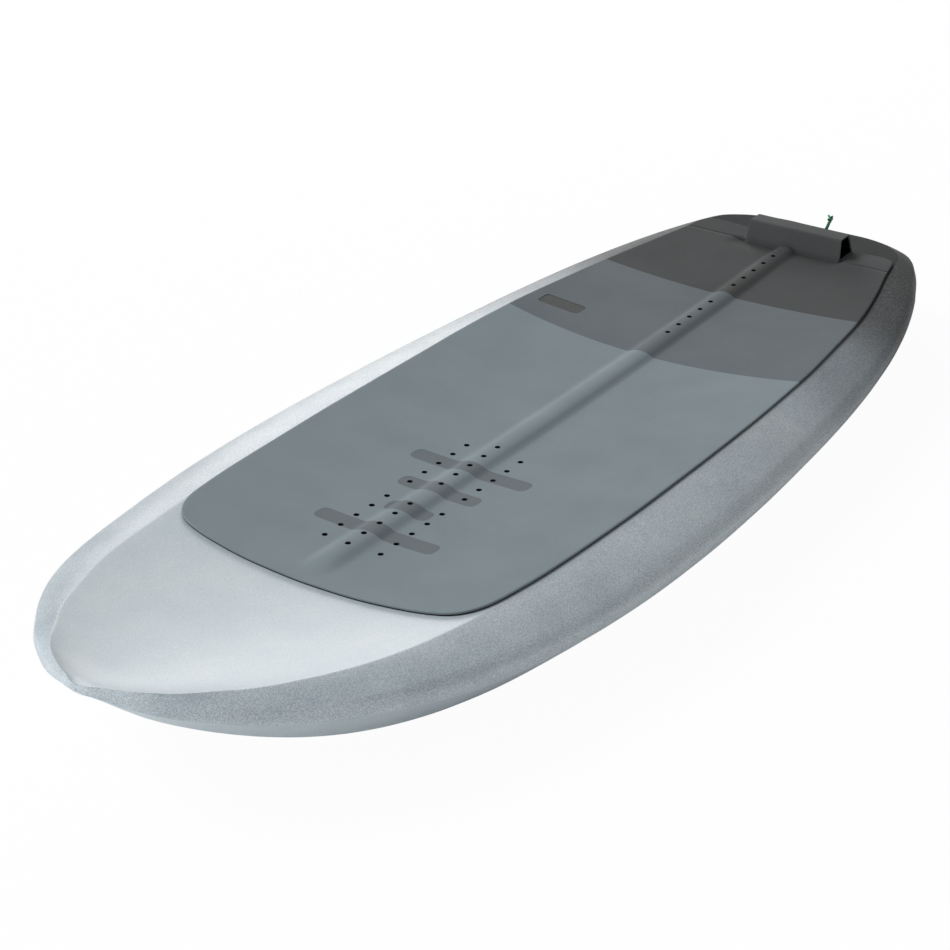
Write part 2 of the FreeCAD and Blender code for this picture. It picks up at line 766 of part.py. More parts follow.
def leash_cord():
    path = cord_path(cord_route)
    first = FreeCAD.Vector(*cord_route[0])
    heading = FreeCAD.Vector(*cord_route[1]) - first
    ring = Part.Wire([Part.Circle(first, heading, cord_diameter / 2).toShape()])
    tube = path.makePipeShell([ring], True, False)
    plain_volume = path.Length * math.pi * cord_diameter * cord_diameter / 4
    print("cord length", round(path.Length, 1), "volume share", round(tube.Volume / plain_volume, 3))
    return tube.cut(leash_pin())


def leash_knot():
    """The knot, as a rounded bead seated on the cord's end, with the cord's two short ends standing out of it."""
    top = FreeCAD.Vector(*cord_route[-1])
    heading = top - FreeCAD.Vector(*cord_route[-2])
    heading.normalize()
    middle = top + heading * knot_rise
    bead = Part.makeSphere(knot_diameter / 2, middle)
    below = Part.makeCylinder(knot_diameter, knot_diameter, top, heading * -1)
    ends = []
    for side in (1, -1):
        lean = FreeCAD.Vector(0, side * cord_end_spread, cord_end_length)
        lean.normalize()
        reach = knot_diameter / 2 + cord_end_length
        ends.append(Part.makeCylinder(cord_end_diameter / 2, reach, middle, lean))
    return joined([bead] + ends).cut(below)


def block_profile(shrink):
    """Side view of the kick block, drawn in by shrink on its front, top and back."""
    floor = board_thickness / 2
    base = deck_height(block_front_x, 0) + pad_thickness
    top = base + block_height - shrink
    front = block_front_x - shrink
    top_front = front - block_front_lean
    top_back = block_front_x - block_front_lean - block_top_length + shrink
    base_back = block_front_x - block_base_length + shrink
    points = [
        (front, base), (top_front, top), (top_back, top), (base_back, base), (base_back, floor), (front, floor),
    ]
    corners = [FreeCAD.Vector(x, block_shift - block_half_width, z) for x, z in points]
    face = Part.Face(Part.makePolygon(corners + [corners[0]]))
    return face.extrude(FreeCAD.Vector(0, 2 * block_half_width, 0))


def mark(setback, half):
    """Plan block of a stance mark: a bar across the pad with round ends."""
    x = pad_front_x - setback
    radius = mark_width / 2
    reach = half - radius
    low = mark_shift - reach
    high = mark_shift + reach
    bar = box((x - radius, low, 0), (x + radius, high, 2 * board_thickness))
    ends = [cylinder(mark_width, (x, y, 0), 2 * board_thickness) for y in (low, high)]
    return joined([bar] + ends)


def patch():
    """Plan block of the rubber patch, on the starboard side."""
    x = seam_x + patch_ahead
    low = (x - patch_length / 2, -patch_side - patch_width / 2, 0)
    high = (x + patch_length / 2, -patch_side + patch_width / 2, 2 * board_thickness)
    return rounded_box(low, high, patch_corner)


def rail_split():
    """Everything above the line along the rail where the two skins meet."""
    points = []
    for place in station_shares:
        points.append((x_at(place), -board_width, board_thickness * along(rail_height_shares, place)))
    first = points[0]
    last = points[-1]
    reach = board_length
    top = 2 * board_thickness
    face = Part.Face(Part.Wire([
        line((-reach, first[1], first[2]), first),
        spline(points),
        line(last, (reach, last[1], last[2])),
        line((reach, last[1], last[2]), (reach, last[1], top)),
        line((reach, last[1], top), (-reach, first[1], top)),
        line((-reach, first[1], top), (-reach, first[1], first[2])),
    ]))
    return face.extrude(FreeCAD.Vector(0, 2 * board_width, 0))


def build():
    parts = {}
    outside = board_body(station_shares, 0, 0)
    core_places = [place for place in station_shares if core_tail_share <= place <= core_nose_share]
    inside = board_body(core_places, skin, end_skin)
    shell = outside.cut(inside)
    upper = rail_split()

    strip_boxes = Part.makeCompound([strip_box(x, y) for name, x, y in strips()])
    deck_fittings = Part.makeCompound([strip_boxes, cup_outer()])
    bottom_fittings = Part.makeCompound([track_box(1), track_box(-1), handle_outer(), vent_outer()])
    parts["deck_skin"] = shell.common(upper).cut(deck_fittings)
    parts["bottom_skin"] = shell.cut(upper).cut(bottom_fittings)

    plates = Part.makeCompound([front_plate_box(), rear_plate_box()])
    pockets = Part.makeCompound([track_block_box(), handle_outer(), vent_outer(), cup_outer()])
    parts["foam_core"] = inside.cut(plates).cut(pockets)
    block = track_block_box().common(inside)
    parts["track_block"] = block.cut(strip_boxes).cut(Part.makeCompound([track_box(1), track_box(-1)]))
    parts["front_strap_plate"] = front_plate_box().common(inside).cut(strip_boxes)
    parts["rear_strap_plate"] = rear_plate_box().common(inside).cut(strip_boxes)
    for name, x, y in strips():
        parts[name] = strap_insert(outside, x, y)

    for side, word in ((1, "port"), (-1, "starboard")):
        parts["foil_track_" + word] = foil_track(side)
        parts["t_nut_front_" + word] = t_nut(side, 1)
        parts["t_nut_rear_" + word] = t_nut(side, -1)
    parts["handle_cup"] = handle_cup()
    parts["handle_grip"] = grip_bar()
    parts["vent_bush"] = vent_bush()
    parts["vent_seal"] = vent_seal()
    parts["vent_screw"] = vent_screw()
    parts["vent_membrane"] = vent_membrane()
    parts["leash_cup"] = leash_cup(outside)
    parts["leash_pin"] = leash_pin()
    parts["leash_cord"] = leash_cord()
    parts["leash_knot"] = leash_knot()

    raised = pad_body(pad_thickness)
    under_inlays = pad_body(pad_thickness - inlay_depth)
    sheet = raised.common(prism(pad_outline())).cut(outside)
    holes = Part.makeCompound([strip_holes(x, y, pad_hole_diameter, pad_hole_overcut) for name, x, y in strips()])
    sheet = sheet.cut(holes)
    marks = Part.makeCompound([
        mark(mark_1_setback, mark_1_half), mark(mark_2_setback, mark_2_half),
        mark(mark_3_setback, mark_3_half), mark(mark_4_setback, mark_4_half),
    ])
    top_layer = sheet.cut(under_inlays)
    inlays = top_layer.common(marks)
    badge = top_layer.common(patch())
    sheet = sheet.cut(inlays).cut(badge)
    front = ahead_of(seam_x + front_tone_ahead, front_tone_bow)
    middle = ahead_of(seam_x + rear_tone_ahead, rear_tone_bow)
    main = ahead_of(seam_x, seam_bow)
    behind = ahead_of(seam_x - seam_gap, seam_bow)
    parts["deck_pad_front"] = sheet.common(front)
    parts["deck_pad_middle"] = sheet.common(middle).cut(front)
    parts["deck_pad_rear"] = sheet.common(main).cut(middle)
    parts["tail_pad"] = sheet.cut(behind)
    parts["stance_marks"] = inlays
    parts["pad_patch"] = badge
    above_pad = block_profile(0).cut(raised)
    core = block_profile(block_cover).cut(raised)
    parts["kick_block_core"] = core
    parts["kick_block_cover"] = above_pad.cut(block_profile(block_cover))
    return parts


def main():
    os.makedirs("parts", exist_ok=True)
    for name, shape in build().items():
        solids = shape.Solids
        print(name, len(solids), round(shape.Volume / 1000, 2), shape.isValid())
        whole = solids[0] if len(solids) == 1 else Part.makeCompound(solids)
        whole.exportStep("parts/" + name + ".step")


main()
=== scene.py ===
import math

import bmesh
import bpy
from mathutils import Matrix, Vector


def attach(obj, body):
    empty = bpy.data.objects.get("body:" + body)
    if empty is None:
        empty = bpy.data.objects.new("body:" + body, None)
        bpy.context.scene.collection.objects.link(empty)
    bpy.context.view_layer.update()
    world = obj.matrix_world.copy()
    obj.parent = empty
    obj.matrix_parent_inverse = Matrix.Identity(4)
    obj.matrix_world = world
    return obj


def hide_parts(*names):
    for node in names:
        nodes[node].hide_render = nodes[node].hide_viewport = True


# A wing foil board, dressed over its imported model, with +X to the nose, +Y to port and +Z up. Camera and lamps
# are placed in metres. The board's own sizes are in mm, and the factor mm turns them into metres.

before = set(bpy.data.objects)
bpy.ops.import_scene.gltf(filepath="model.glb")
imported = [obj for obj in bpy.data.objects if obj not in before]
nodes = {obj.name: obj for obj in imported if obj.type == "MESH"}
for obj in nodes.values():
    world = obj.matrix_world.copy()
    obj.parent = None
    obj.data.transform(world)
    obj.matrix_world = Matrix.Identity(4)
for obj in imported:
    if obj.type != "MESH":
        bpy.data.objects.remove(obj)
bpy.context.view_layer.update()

mm = 0.001

# Camera, at the photograph's view
camera_place = (1.7796, 1.1564, 1.1391)
camera_heading = (-0.72691, -0.50741, -0.46275)
camera_lens = 82.64
camera_sensor = 36.0
camera_near = 0.05



def add(name, data):
    """A new object in the scene."""
    made = bpy.data.objects.new(name, data)
    bpy.context.scene.collection.objects.link(made)
    return made


def aim(thing, heading):
    thing.rotation_mode = "QUATERNION"
    thing.rotation_quaternion = Vector(heading).to_track_quat("-Z", "Y")


camera_data = bpy.data.cameras.new("camera")
camera_data.lens = camera_lens
camera_data.sensor_width = camera_sensor
camera_data.clip_start = camera_near
camera = add("camera", camera_data)
camera.location = camera_place
aim(camera, camera_heading)
bpy.context.scene.camera = camera
bpy.context.scene.view_settings.view_transform = "Standard"

# Leash cord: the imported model's own route
cord_diameter = 4.0
cord_route = (
    (-640.5, 12.0, 98.6), (-640.8, 12.2, 105.2), (-641.0, 14.3, 111.8), (-640.6, 17.4, 118.2),
    (-640.2, 20.4, 124.7), (-640.5, 22.1, 130.4),
)
cord_sides = 8
cord_steps = 12


def round_curve(name, diameter, sides, steps):
    """A curve with a round section, which strands are added to."""
    data = bpy.data.curves.new(name, "CURVE")
    data.dimensions = "3D"
    data.bevel_depth = diameter / 2 * mm
    data.bevel_resolution = sides
    data.resolution_u = steps
    data.use_fill_caps = True
    return data


def strand(data, points, order, closed=False):
    """Adds one NURBS strand to a curve."""
    spline = data.splines.new("NURBS")
    spline.points.add(len(points) - 1)
    for point, place in zip(spline.points, points):
        point.co = (place[0] * mm, place[1] * mm, place[2] * mm, 1.0)
    spline.order_u = order
    spline.use_cyclic_u = closed
    spline.use_endpoint_u = not closed


cord_curve = round_curve("leash_cord_braid", cord_diameter, cord_sides, cord_steps)
strand(cord_curve, cord_route, 3)
cord = add("leash_cord_braid", cord_curve)

# The board's sizes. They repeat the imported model's, but for a finer tip of the nose, a thinner skin, and a hard
# lower edge that steps.
board_length = 1417.0
board_width = 534.0
board_thickness = 105.0
deck_width = 404.0
skin = 3.6
end_skin = 6.0
flat_trim = 1.0
edge_round = 2.4
end_round = 1.4
tail_x = -board_length / 2

# Half widths and heights along the board: (share of the length from the tail, share of half the board's or the
# deck's width, or of the thickness)
rail_half_shares = (
    (0.0, 0.118), (0.003, 0.17), (0.009, 0.28), (0.018, 0.418), (0.0325, 0.4975), (0.048, 0.545),
    (0.066, 0.5965), (0.0875, 0.646), (0.1, 0.674), (0.133, 0.7345), (0.165, 0.783), (0.221, 0.85),
    (0.299, 0.915), (0.35, 0.9435), (0.404, 0.9665), (0.49, 0.992), (0.56, 1.0), (0.6, 0.998),
    (0.634, 0.9925), (0.691, 0.971), (0.742, 0.934), (0.79, 0.884), (0.83, 0.83), (0.865, 0.766),
    (0.896, 0.688), (0.922, 0.594), (0.943, 0.4975), (0.958, 0.42), (0.974, 0.307), (0.983, 0.235),
    (0.991, 0.15), (0.996, 0.084), (1.0, 0.012),
)
deck_half_shares = (
    (0.0, 0.04), (0.003, 0.08), (0.007, 0.11), (0.014, 0.144), (0.02, 0.183), (0.023, 0.25),
    (0.028, 0.356), (0.04, 0.51), (0.061, 0.634), (0.084, 0.683), (0.106, 0.715), (0.148, 0.79),
    (0.205, 0.871), (0.261, 0.921), (0.339, 0.975), (0.43, 0.998), (0.505, 1.0), (0.575, 0.998),
    (0.639, 0.986), (0.702, 0.965), (0.748, 0.931), (0.792, 0.891), (0.828, 0.847), (0.861, 0.787),
    (0.903, 0.668), (0.931, 0.569), (0.951, 0.462), (0.967, 0.382), (0.976, 0.3175), (0.983, 0.249),
    (0.991, 0.1535), (0.995, 0.087), (1.0, 0.004),
)
flat_half_shares = (
    (0.0, 0.03), (0.003, 0.075), (0.009, 0.15), (0.018, 0.247), (0.0325, 0.356), (0.048, 0.423),
    (0.066, 0.464), (0.0875, 0.5015), (0.133, 0.562), (0.221, 0.637), (0.404, 0.723), (0.49, 0.75),
    (0.56, 0.758), (0.6, 0.755), (0.634, 0.745), (0.691, 0.7146), (0.742, 0.685), (0.79, 0.6457),
    (0.83, 0.61), (0.865, 0.562), (0.896, 0.49), (0.922, 0.397), (0.943, 0.302), (0.958, 0.235),
    (0.974, 0.165), (0.983, 0.118), (0.991, 0.07), (0.996, 0.036), (1.0, 0.006),
)
bottom_shares = (
    (0.0, 0.629), (0.003, 0.575), (0.009, 0.472), (0.018, 0.33), (0.0325, 0.2), (0.048, 0.16),
    (0.066, 0.128), (0.0875, 0.092), (0.133, 0.035), (0.197, 0.0), (0.62, 0.0), (0.655, 0.008),
    (0.691, 0.032), (0.742, 0.087), (0.79, 0.169), (0.83, 0.28), (0.865, 0.395), (0.896, 0.506),
    (0.922, 0.612), (0.943, 0.718), (0.958, 0.818), (0.974, 0.952), (0.983, 1.05), (0.991, 1.146),
    (0.996, 1.198), (1.0, 1.245),
)
deck_middle_shares = (
    (0.0, 0.79), (0.0014, 0.81), (0.007, 0.87), (0.014, 0.945), (0.02, 0.99), (0.025, 1.008),
    (0.035, 1.021), (0.05, 1.034), (0.0635, 1.037), (0.106, 1.019), (0.205, 0.96), (0.275, 0.927),
    (0.346, 0.9), (0.416, 0.882), (0.487, 0.8705), (0.5575, 0.8667), (0.628, 0.8705), (0.699, 0.882),
    (0.7925, 0.902), (0.84, 0.928), (0.875, 0.966), (0.91, 1.02), (0.946, 1.093), (0.967, 1.144),
    (0.981, 1.202), (0.9915, 1.258), (1.0, 1.31),
)
deck_edge_shares = (
    (0.0, 0.79), (0.0014, 0.806), (0.007, 0.868), (0.014, 0.938), (0.02, 0.99), (0.025, 1.017),
    (0.04, 1.052), (0.0635, 1.079), (0.085, 1.076), (0.106, 1.057), (0.205, 1.007), (0.346, 1.009),
    (0.487, 0.99), (0.628, 0.983), (0.769, 1.007), (0.875, 1.105), (0.931, 1.187), (0.951, 1.2205),
    (0.967, 1.2555), (0.9845, 1.289), (1.0, 1.314),
)
rail_height_shares = (
    (0.0, 0.74), (0.003, 0.765), (0.009, 0.805), (0.018, 0.835), (0.0325, 0.846), (0.066, 0.85),
    (0.1, 0.848), (0.133, 0.839), (0.165, 0.828), (0.221, 0.799), (0.299, 0.751), (0.35, 0.728),
    (0.404, 0.72), (0.49, 0.723), (0.56, 0.732), (0.634, 0.745), (0.691, 0.761), (0.742, 0.784),
    (0.79, 0.817), (0.83, 0.856), (0.865, 0.894), (0.896, 0.936), (0.922, 0.985), (0.943, 1.032),
    (0.958, 1.066), (0.974, 1.107), (0.983, 1.143), (0.991, 1.2), (0.996, 1.245), (1.0, 1.28),
)
hard_edge_shares = (
    (0.0, 0.655), (0.009, 0.69), (0.018, 0.71), (0.0325, 0.722), (0.066, 0.72), (0.1, 0.702),
    (0.133, 0.681), (0.165, 0.668), (0.221, 0.66), (0.299, 0.643), (0.35, 0.63), (0.404, 0.617),
    (0.49, 0.597), (0.56, 0.59), (0.634, 0.598), (0.691, 0.615), (0.742, 0.639), (0.79, 0.681),
    (0.83, 0.745), (0.865, 0.813), (0.896, 0.867), (0.922, 0.915), (0.943, 0.964), (0.958, 1.014),
    (0.974, 1.069), (0.983, 1.112), (0.991, 1.169), (0.996, 1.211), (1.0, 1.247),
)
hard_edge_half_share = 0.989
hard_step = 0.9
hard_step_fade = 40.0
bevel_crown_share = 0.075

# Where the rail's round meets the upper bevel: (share of the length, share of the way from the rail to the deck
# edge), first in towards the middle, then up
round_in_shares = (
    (0.0, 0.2), (0.1, 0.185), (0.3, 0.176), (0.55, 0.167), (0.76, 0.167), (0.9, 0.118), (1.0, 0.12),
)
round_up_shares = (
    (0.0, 0.545), (0.1, 0.54), (0.3, 0.455), (0.55, 0.466), (0.76, 0.475), (0.9, 0.53), (1.0, 0.54),
)

# Points on each stretch of an outline across the board, and how its corners are rounded
corner_steps = 4
flat_steps = 12
slope_steps = 9
low_round_steps = 8
high_round_steps = 9
bevel_steps = 16
deck_steps = 18
corner_limit_share = 0.3
corner_aim_share = 0.9
inset_limit_share = 0.3

# Rows near the board's ends: how much of end_round each lies past the flat end, and is drawn in
end_round_shares = ((1.0, 0.0), (0.3, 0.3), (0.0, 1.0))
end_clear_rounds = 1.5
station_count = 230

# Angles over which an edge looks sharp, in degrees
shell_sharp = 35.0
sheet_sharp = 50.0
block_sharp = 40.0

# Deck pad, with its ridge, the trough before the kick block, and painted shade in that trough and along the
# ridge's port foot
pad_thickness = 4.0
pad_margin = 2.0
ridge_height = 5.0
ridge_half_widths = ((0.0, 16.0), (0.25, 17.0), (0.45, 20.0), (1.0, 22.0))
ridge_lean_share = 0.66
ridge_nose_start_share = 0.752
ridge_nose_end_share = 0.789
ridge_tail_start_share = 0.098
ridge_tail_end_share = 0.07
ridge_search_steps = 24
trough_length = 32.0
trough_half = 84.0
trough_end = 20.0
trough_fall = 2.9
# Painted shade along the ridge's port foot: where it lies across the pad, how far it reaches, how dark it is at
# the front and at the tail, and how it fades in
crease_shade_middle = 14.0
crease_shade_reach = 6.0
crease_shade_front = 0.15
crease_shade_tail = 0.6
crease_shade_fade_share = 0.6
crease_shade_rise = 6.0

# The pad's outline at the nose: first (distance from the middle, setback), then (setback, distance)
pad_front_share = 0.7925
pad_front_corner = ((60.0, 1.7), (121.2, 7.9), (140.0, 11.6), (151.5, 14.9), (160.0, 18.6), (167.7, 24.0))
pad_side_corner = ((24.0, 167.7), (30.5, 173.2), (38.5, 178.0), (46.5, 181.4), (54.5, 183.9))
pad_side_start = 70.0

# Lines across the pad: where each crosses the centre line, and how far ahead it meets the deck's edge
seam_from_tail = 138.0
seam_bow = 13.9
seam_gap = 1.0
rear_tone_ahead = 164.0
rear_tone_bow = -10.9
front_tone_ahead = 360.0
front_tone_bow = -18.0
tail_pad_rear_from_tail = 104.0
tail_pad_rear_half = 106.0
tail_pad_corner_from_tail = 110.0
tail_pad_corner_half = 130.0
tail_pad_side_from_tail = 121.9

seam_x = tail_x + seam_from_tail
tail_side_x = tail_x + tail_pad_side_from_tail
tail_rear_x = tail_x + tail_pad_rear_from_tail
pad_front_x = tail_x + board_length * pad_front_share


def along(shares, place):
    """The share that a table gives at a place along the board, on a smooth line through its rows."""
    turns = [math.acos(1 - 2 * row[0]) for row in shares]
    values = [row[1] for row in shares]
    return smooth(turns, values, math.acos(1 - 2 * min(max(place, 0.0), 1.0)))


def smooth(places, values, place):
    """A smooth line through points, which never swings past its neighbours."""
    last = len(places) - 2
    index = 0
    while index < last and places[index + 1] < place:
        index += 1
    span = places[index + 1] - places[index]
    step = (place - places[index]) / span
    rise_in = slope(places, values, index) * span
    rise_out = slope(places, values, index + 1) * span
    square = step * step
    cube = square * step
    return (
        (2 * cube - 3 * square + 1) * values[index]
        + (cube - 2 * square + step) * rise_in
        + (3 * square - 2 * cube) * values[index + 1]
        + (cube - square) * rise_out
    )


def slope(places, values, index):
    rises = []
    for low in (index - 1, index):
        if low >= 0 and low + 1 < len(places):
            rises.append((values[low + 1] - values[low]) / (places[low + 1] - places[low]))
    if len(rises) == 1:
        return rises[0]
    if rises[0] * rises[1] <= 0:
        return 0.0
    return 2 * rises[0] * rises[1] / (rises[0] + rises[1])


def x_at(place):
    return tail_x + board_length * place


def place_at(x):
    return (x - tail_x) / board_length


def deck_height(x, y):
    place = place_at(x)
    middle = board_thickness * along(deck_middle_shares, place)
    edge = board_thickness * along(deck_edge_shares, place)
    half = deck_width / 2 * along(deck_half_shares, place)
    return middle + (edge - middle) * (y / half) ** 2


def ridge_rise(x, y):
    """Height of the pad's ridge over the plain sheet."""
    place = place_at(x)
    nose = (ridge_nose_end_share - place) / (ridge_nose_end_share - ridge_nose_start_share)
    tail = (place - ridge_tail_end_share) / (ridge_tail_start_share - ridge_tail_end_share)
    share = eased(max(0.0, min(1.0, nose, tail)))
    half = along(ridge_half_widths, place)
    if abs(y) >= half:
        return 0.0
    low, high = 0.0, 1.0
    for _ in range(ridge_search_steps):
        turn = (low + high) / 2
        back = 1 - turn
        if half * (back ** 3 + 3 * ridge_lean_share * back * turn) > abs(y):
            low = turn
        else:
            high = turn
    return ridge_height * share * turn * turn * (3 - 2 * turn)


def trough_depth(x, y):
    """How far the pad dips in front of the kick block, on both sides of the ridge."""
    ahead = (x - seam_x) / trough_length
    if not 0 <= ahead < 1 or abs(y) > trough_half:
        return 0.0
    return trough_fall * eased(min(1.0, (trough_half - abs(y)) / trough_end)) * eased(1 - ahead)


def pad_rise(x, y):
    """Height of the pad's face over the plain sheet."""
    rise = ridge_rise(x, y)
    return rise - trough_depth(x, y) * (1 - rise / ridge_height)


def top_height(x, y):
    return deck_height(x, y) + pad_thickness + pad_rise(x, y)


def painted_fold_shade(x, y):
    """Painted shade in the pad's folds, from 0 to 1: before the kick block, where the pad sinks, and along the
    ridge's port foot.
    """
    dip_shade = trough_depth(x, y) / trough_fall * (1 - ridge_rise(x, y) / ridge_height)
    near = max(0.0, 1 - abs(y - crease_shade_middle) / crease_shade_reach)
    share = min(1.0, max(0.0, (ridge_nose_start_share - place_at(x)) / crease_shade_fade_share))
    crease_shade = near * (crease_shade_front + (crease_shade_tail - crease_shade_front) * share) * min(1.0, share * crease_shade_rise)
    return min(1.0, dip_shade + (crease_shade if x > seam_x else 0.0))


def eased(share):
    return share * share * (3 - 2 * share)


def between(start, end, share):
    return tuple(s + (e - s) * share for s, e in zip(start, end))


def bow(start, middle, end, turn):
    """A point on the quadratic curve from start to end, drawn towards middle."""
    back = 1 - turn
    pulls = (back * back, 2 * back * turn, turn * turn)
    return tuple(pulls[0] * s + pulls[1] * m + pulls[2] * e for s, m, e in zip(start, middle, end))


def shares_of(count, first=0.0, last=1.0):
    return [first + (last - first) * k / count for k in range(count + 1)]


def rounded_corner(before, corner, after, reach):
    """Points round a softened corner."""
    ends = []
    for other in (before, after):
        ends.append(between(corner, other, min(corner_limit_share, reach / math.dist(other, corner))))
    return [bow(ends[0], corner, ends[1], turn) for turn in shares_of(corner_steps)]


def half_section(place):
    """Port half of the outline across the board, from the bottom's middle to the deck's middle, and where on it
    the hard edge, the rail and the deck's edge are."""
    rail_half = board_width / 2 * along(rail_half_shares, place)
    rail = (rail_half, board_thickness * along(rail_height_shares, place))
    edge = (deck_width / 2 * along(deck_half_shares, place), board_thickness * along(deck_edge_shares, place))
    hard = (rail_half * hard_edge_half_share, board_thickness * along(hard_edge_shares, place))
    flat_half = board_width / 2 * along(flat_half_shares, place)
    flat = (flat_half, board_thickness * along(bottom_shares, place) - flat_trim)
    if flat[1] < 0:
        flat = (between(flat, hard, -flat[1] / (hard[1] - flat[1]))[0], 0.0)
    middle = board_thickness * along(deck_middle_shares, place)
    in_share = along(round_in_shares, place)
    up_share = along(round_up_shares, place)
    rise = (rail[0] + in_share * (edge[0] - rail[0]), rail[1] + up_share * (edge[1] - rail[1]))
    turn = (2 * rail[0] - (hard[0] + rise[0]) / 2, 2 * rail[1] - (hard[1] + rise[1]) / 2)
    bevel = ((rise[0] + edge[0]) / 2, (rise[1] + edge[1]) / 2 + bevel_crown_share * (rise[0] - edge[0]))
    flat_end = 1 - min(corner_limit_share, edge_round / flat[0])
    slope_start = min(corner_limit_share, edge_round / math.dist(flat, hard))
    points = [(flat[0] * share, flat[1]) for share in shares_of(flat_steps, 0.0, flat_end)[:-1]]
    points += rounded_corner((0.0, flat[1]), flat, hard, edge_round)
    points += [between(flat, hard, share) for share in shares_of(slope_steps, slope_start)[1:-1]]
    step = hard_step * min(1.0, rail_half / hard_step_fade)
    points += [(hard[0] - step, hard[1] - step), (hard[0] - step, hard[1] - step / 4), hard]
    hard_index = len(points) - 1
    points += [bow(hard, turn, rise, share) for share in shares_of(low_round_steps, 0.0, 0.5)[1:]]
    rail_index = len(points) - 1
    points += [bow(hard, turn, rise, share) for share in shares_of(high_round_steps, 0.5)[1:]]
    points += [bow(rise, bevel, edge, share) for share in shares_of(bevel_steps)[1:-1]]
    edge_index = len(points)
    deck_in = (edge[0] * corner_aim_share, middle + (edge[1] - middle) * corner_aim_share ** 2)
    points += rounded_corner(bow(rise, bevel, edge, corner_aim_share), edge, deck_in, edge_round)
    for share in reversed(shares_of(deck_steps)[:-1]):
        points.append((edge[0] * share, middle + (edge[1] - middle) * share * share))
    return points, hard_index, rail_index, edge_index


def inset_section(points, inset):
    """The half outline moved in by inset along its own normals, less where the section is thin."""
    heights = [point[1] for point in points]
    width = max(point[0] for point in points)
    reach = min(inset, inset_limit_share * (max(heights) - min(heights)), inset_limit_share * width)
    moved = []
    last = len(points) - 1
    for index, point in enumerate(points):
        before = points[index - 1] if index else (-points[1][0], points[1][1])
        after = points[index + 1] if index < last else (-points[last - 1][0], points[last - 1][1])
        run = (after[0] - before[0], after[1] - before[1])
        length = math.hypot(*run)
        moved.append((point[0] - reach * run[1] / length, point[1] + reach * run[0] / length))
    moved[0] = (0.0, moved[0][1])
    moved[last] = (0.0, moved[last][1])
    return moved


stations = [(1 - math.cos(math.pi * k / station_count)) / 2 for k in range(station_count + 1)]
middle_reach = -tail_x - end_clear_rounds * end_round
outer_rows = [(x_at(place), 0.0) for place in stations if abs(x_at(place)) < middle_reach]
for past, drawn_in in end_round_shares:
    outer_rows.insert(0, (tail_x + past * end_round, drawn_in * end_round))
    outer_rows.append((-tail_x - past * end_round, drawn_in * end_round))
sections = []
for row_x, row_inset in outer_rows:
    outline, hard_at, rail_at, edge_at = half_section(place_at(row_x))
    outer = inset_section(outline, row_inset) if row_inset else outline
    inner_x = row_x * (1 - 2 * end_skin / board_length)
    inner = inset_section(half_section(place_at(inner_x))[0], skin)
    sections.append((row_x, outer, inner_x, inner))
deck_at = len(outline) - 1


def add_face(mesh, corners, flip=False):
    mesh.faces.new(list(reversed(corners)) if flip else corners)


def fill_rows(mesh, rows, flip=False):
    """Faces between each row of points and the next."""
    for row, following in zip(rows, rows[1:]):
        for k in range(len(row) - 1):
            add_face(mesh, [row[k], row[k + 1], following[k + 1], following[k]], flip)


def shell(name, first, last, side_first, side_last):
    """One skin of the board: the part of each section from point first to point last, with its inside. The
    points from side_first to side_last are marked as the board's side."""
    mesh = bmesh.new()
    marked = mesh.verts.layers.float.new("side")
    outer_grid = []
    inner_grid = []
    for grid, at in ((outer_grid, 0), (inner_grid, 2)):
        for section in sections:
            x, points = section[at:at + 2]
            kept = [(y, z, float(side_first <= k <= side_last)) for k, (y, z) in enumerate(points)]
            kept = kept[first:last + 1]
            mirrored = [(-y, z, mark) for y, z, mark in reversed(kept)]
            grid.append([])
            row = mirrored + kept[1:] if first == 0 else kept + mirrored[1:]
            for y, z, mark in row:
                grid[-1].append(mesh.verts.new((x * mm, y * mm, z * mm)))
                grid[-1][-1][marked] = mark
    for grid, flip in ((outer_grid, True), (inner_grid, False)):
        fill_rows(mesh, grid, flip)
        add_face(mesh, grid[0], not flip)
        add_face(mesh, grid[-1], flip)
    for k in (0, -1):
        for row in range(len(outer_grid) - 1):
            outside = [outer_grid[row][k], outer_grid[row + 1][k]]
            add_face(mesh, outside + [inner_grid[row + 1][k], inner_grid[row][k]], k != 0)
    mesh.faces.new([outer_grid[0][0], inner_grid[0][0], inner_grid[0][-1], outer_grid[0][-1]])
    mesh.faces.new([outer_grid[-1][0], outer_grid[-1][-1], inner_grid[-1][-1], inner_grid[-1][0]])
    return finished(name, mesh, shell_sharp)


def placed(name, mesh):
    """An object made of this mesh."""
    data = bpy.data.meshes.new(name)
    mesh.to_mesh(data)
    mesh.free()
    return add(name, data)


def solid(name, mesh):
    """An object made of this closed mesh, with its faces turned outwards."""
    bmesh.ops.recalc_face_normals(mesh, faces=mesh.faces)
    return placed(name, mesh)


def finished(name, mesh, sharp):
    """A piece made of this closed mesh, smooth but for its sharp edges."""
    piece = solid(name, mesh)
    for face in piece.data.polygons:
        face.use_smooth = True
    piece.data.set_sharp_from_angle(angle=math.radians(sharp))
    return piece


def cut(piece, tool, sharp):
    """Takes the space of the closed mesh tool out of a piece."""
    cutter = solid("cutter", tool)
    change = piece.modifiers.new("cut", "BOOLEAN")
    change.operation = "DIFFERENCE"
    change.solver = "EXACT"
    change.object = cutter
    depsgraph = bpy.context.evaluated_depsgraph_get()
    data = bpy.data.meshes.new_from_object(piece.evaluated_get(depsgraph))
    piece.modifiers.clear()
    old = piece.data
    piece.data = data
    data.name = old.name
    bpy.data.meshes.remove(old)
    bpy.data.objects.remove(cutter)
    data.set_sharp_from_angle(angle=math.radians(sharp))


def box(mesh, x, y, low, high, length, width):
    """An upright box round x and y, in a mesh that cuts others."""
    half = Vector((length / 2, width / 2, (high - low) / 2))
    for vert in bmesh.ops.create_cube(mesh, size=2.0)["verts"]:
        vert.co = (Vector((x, y, (low + high) / 2)) + vert.co * half) * mm


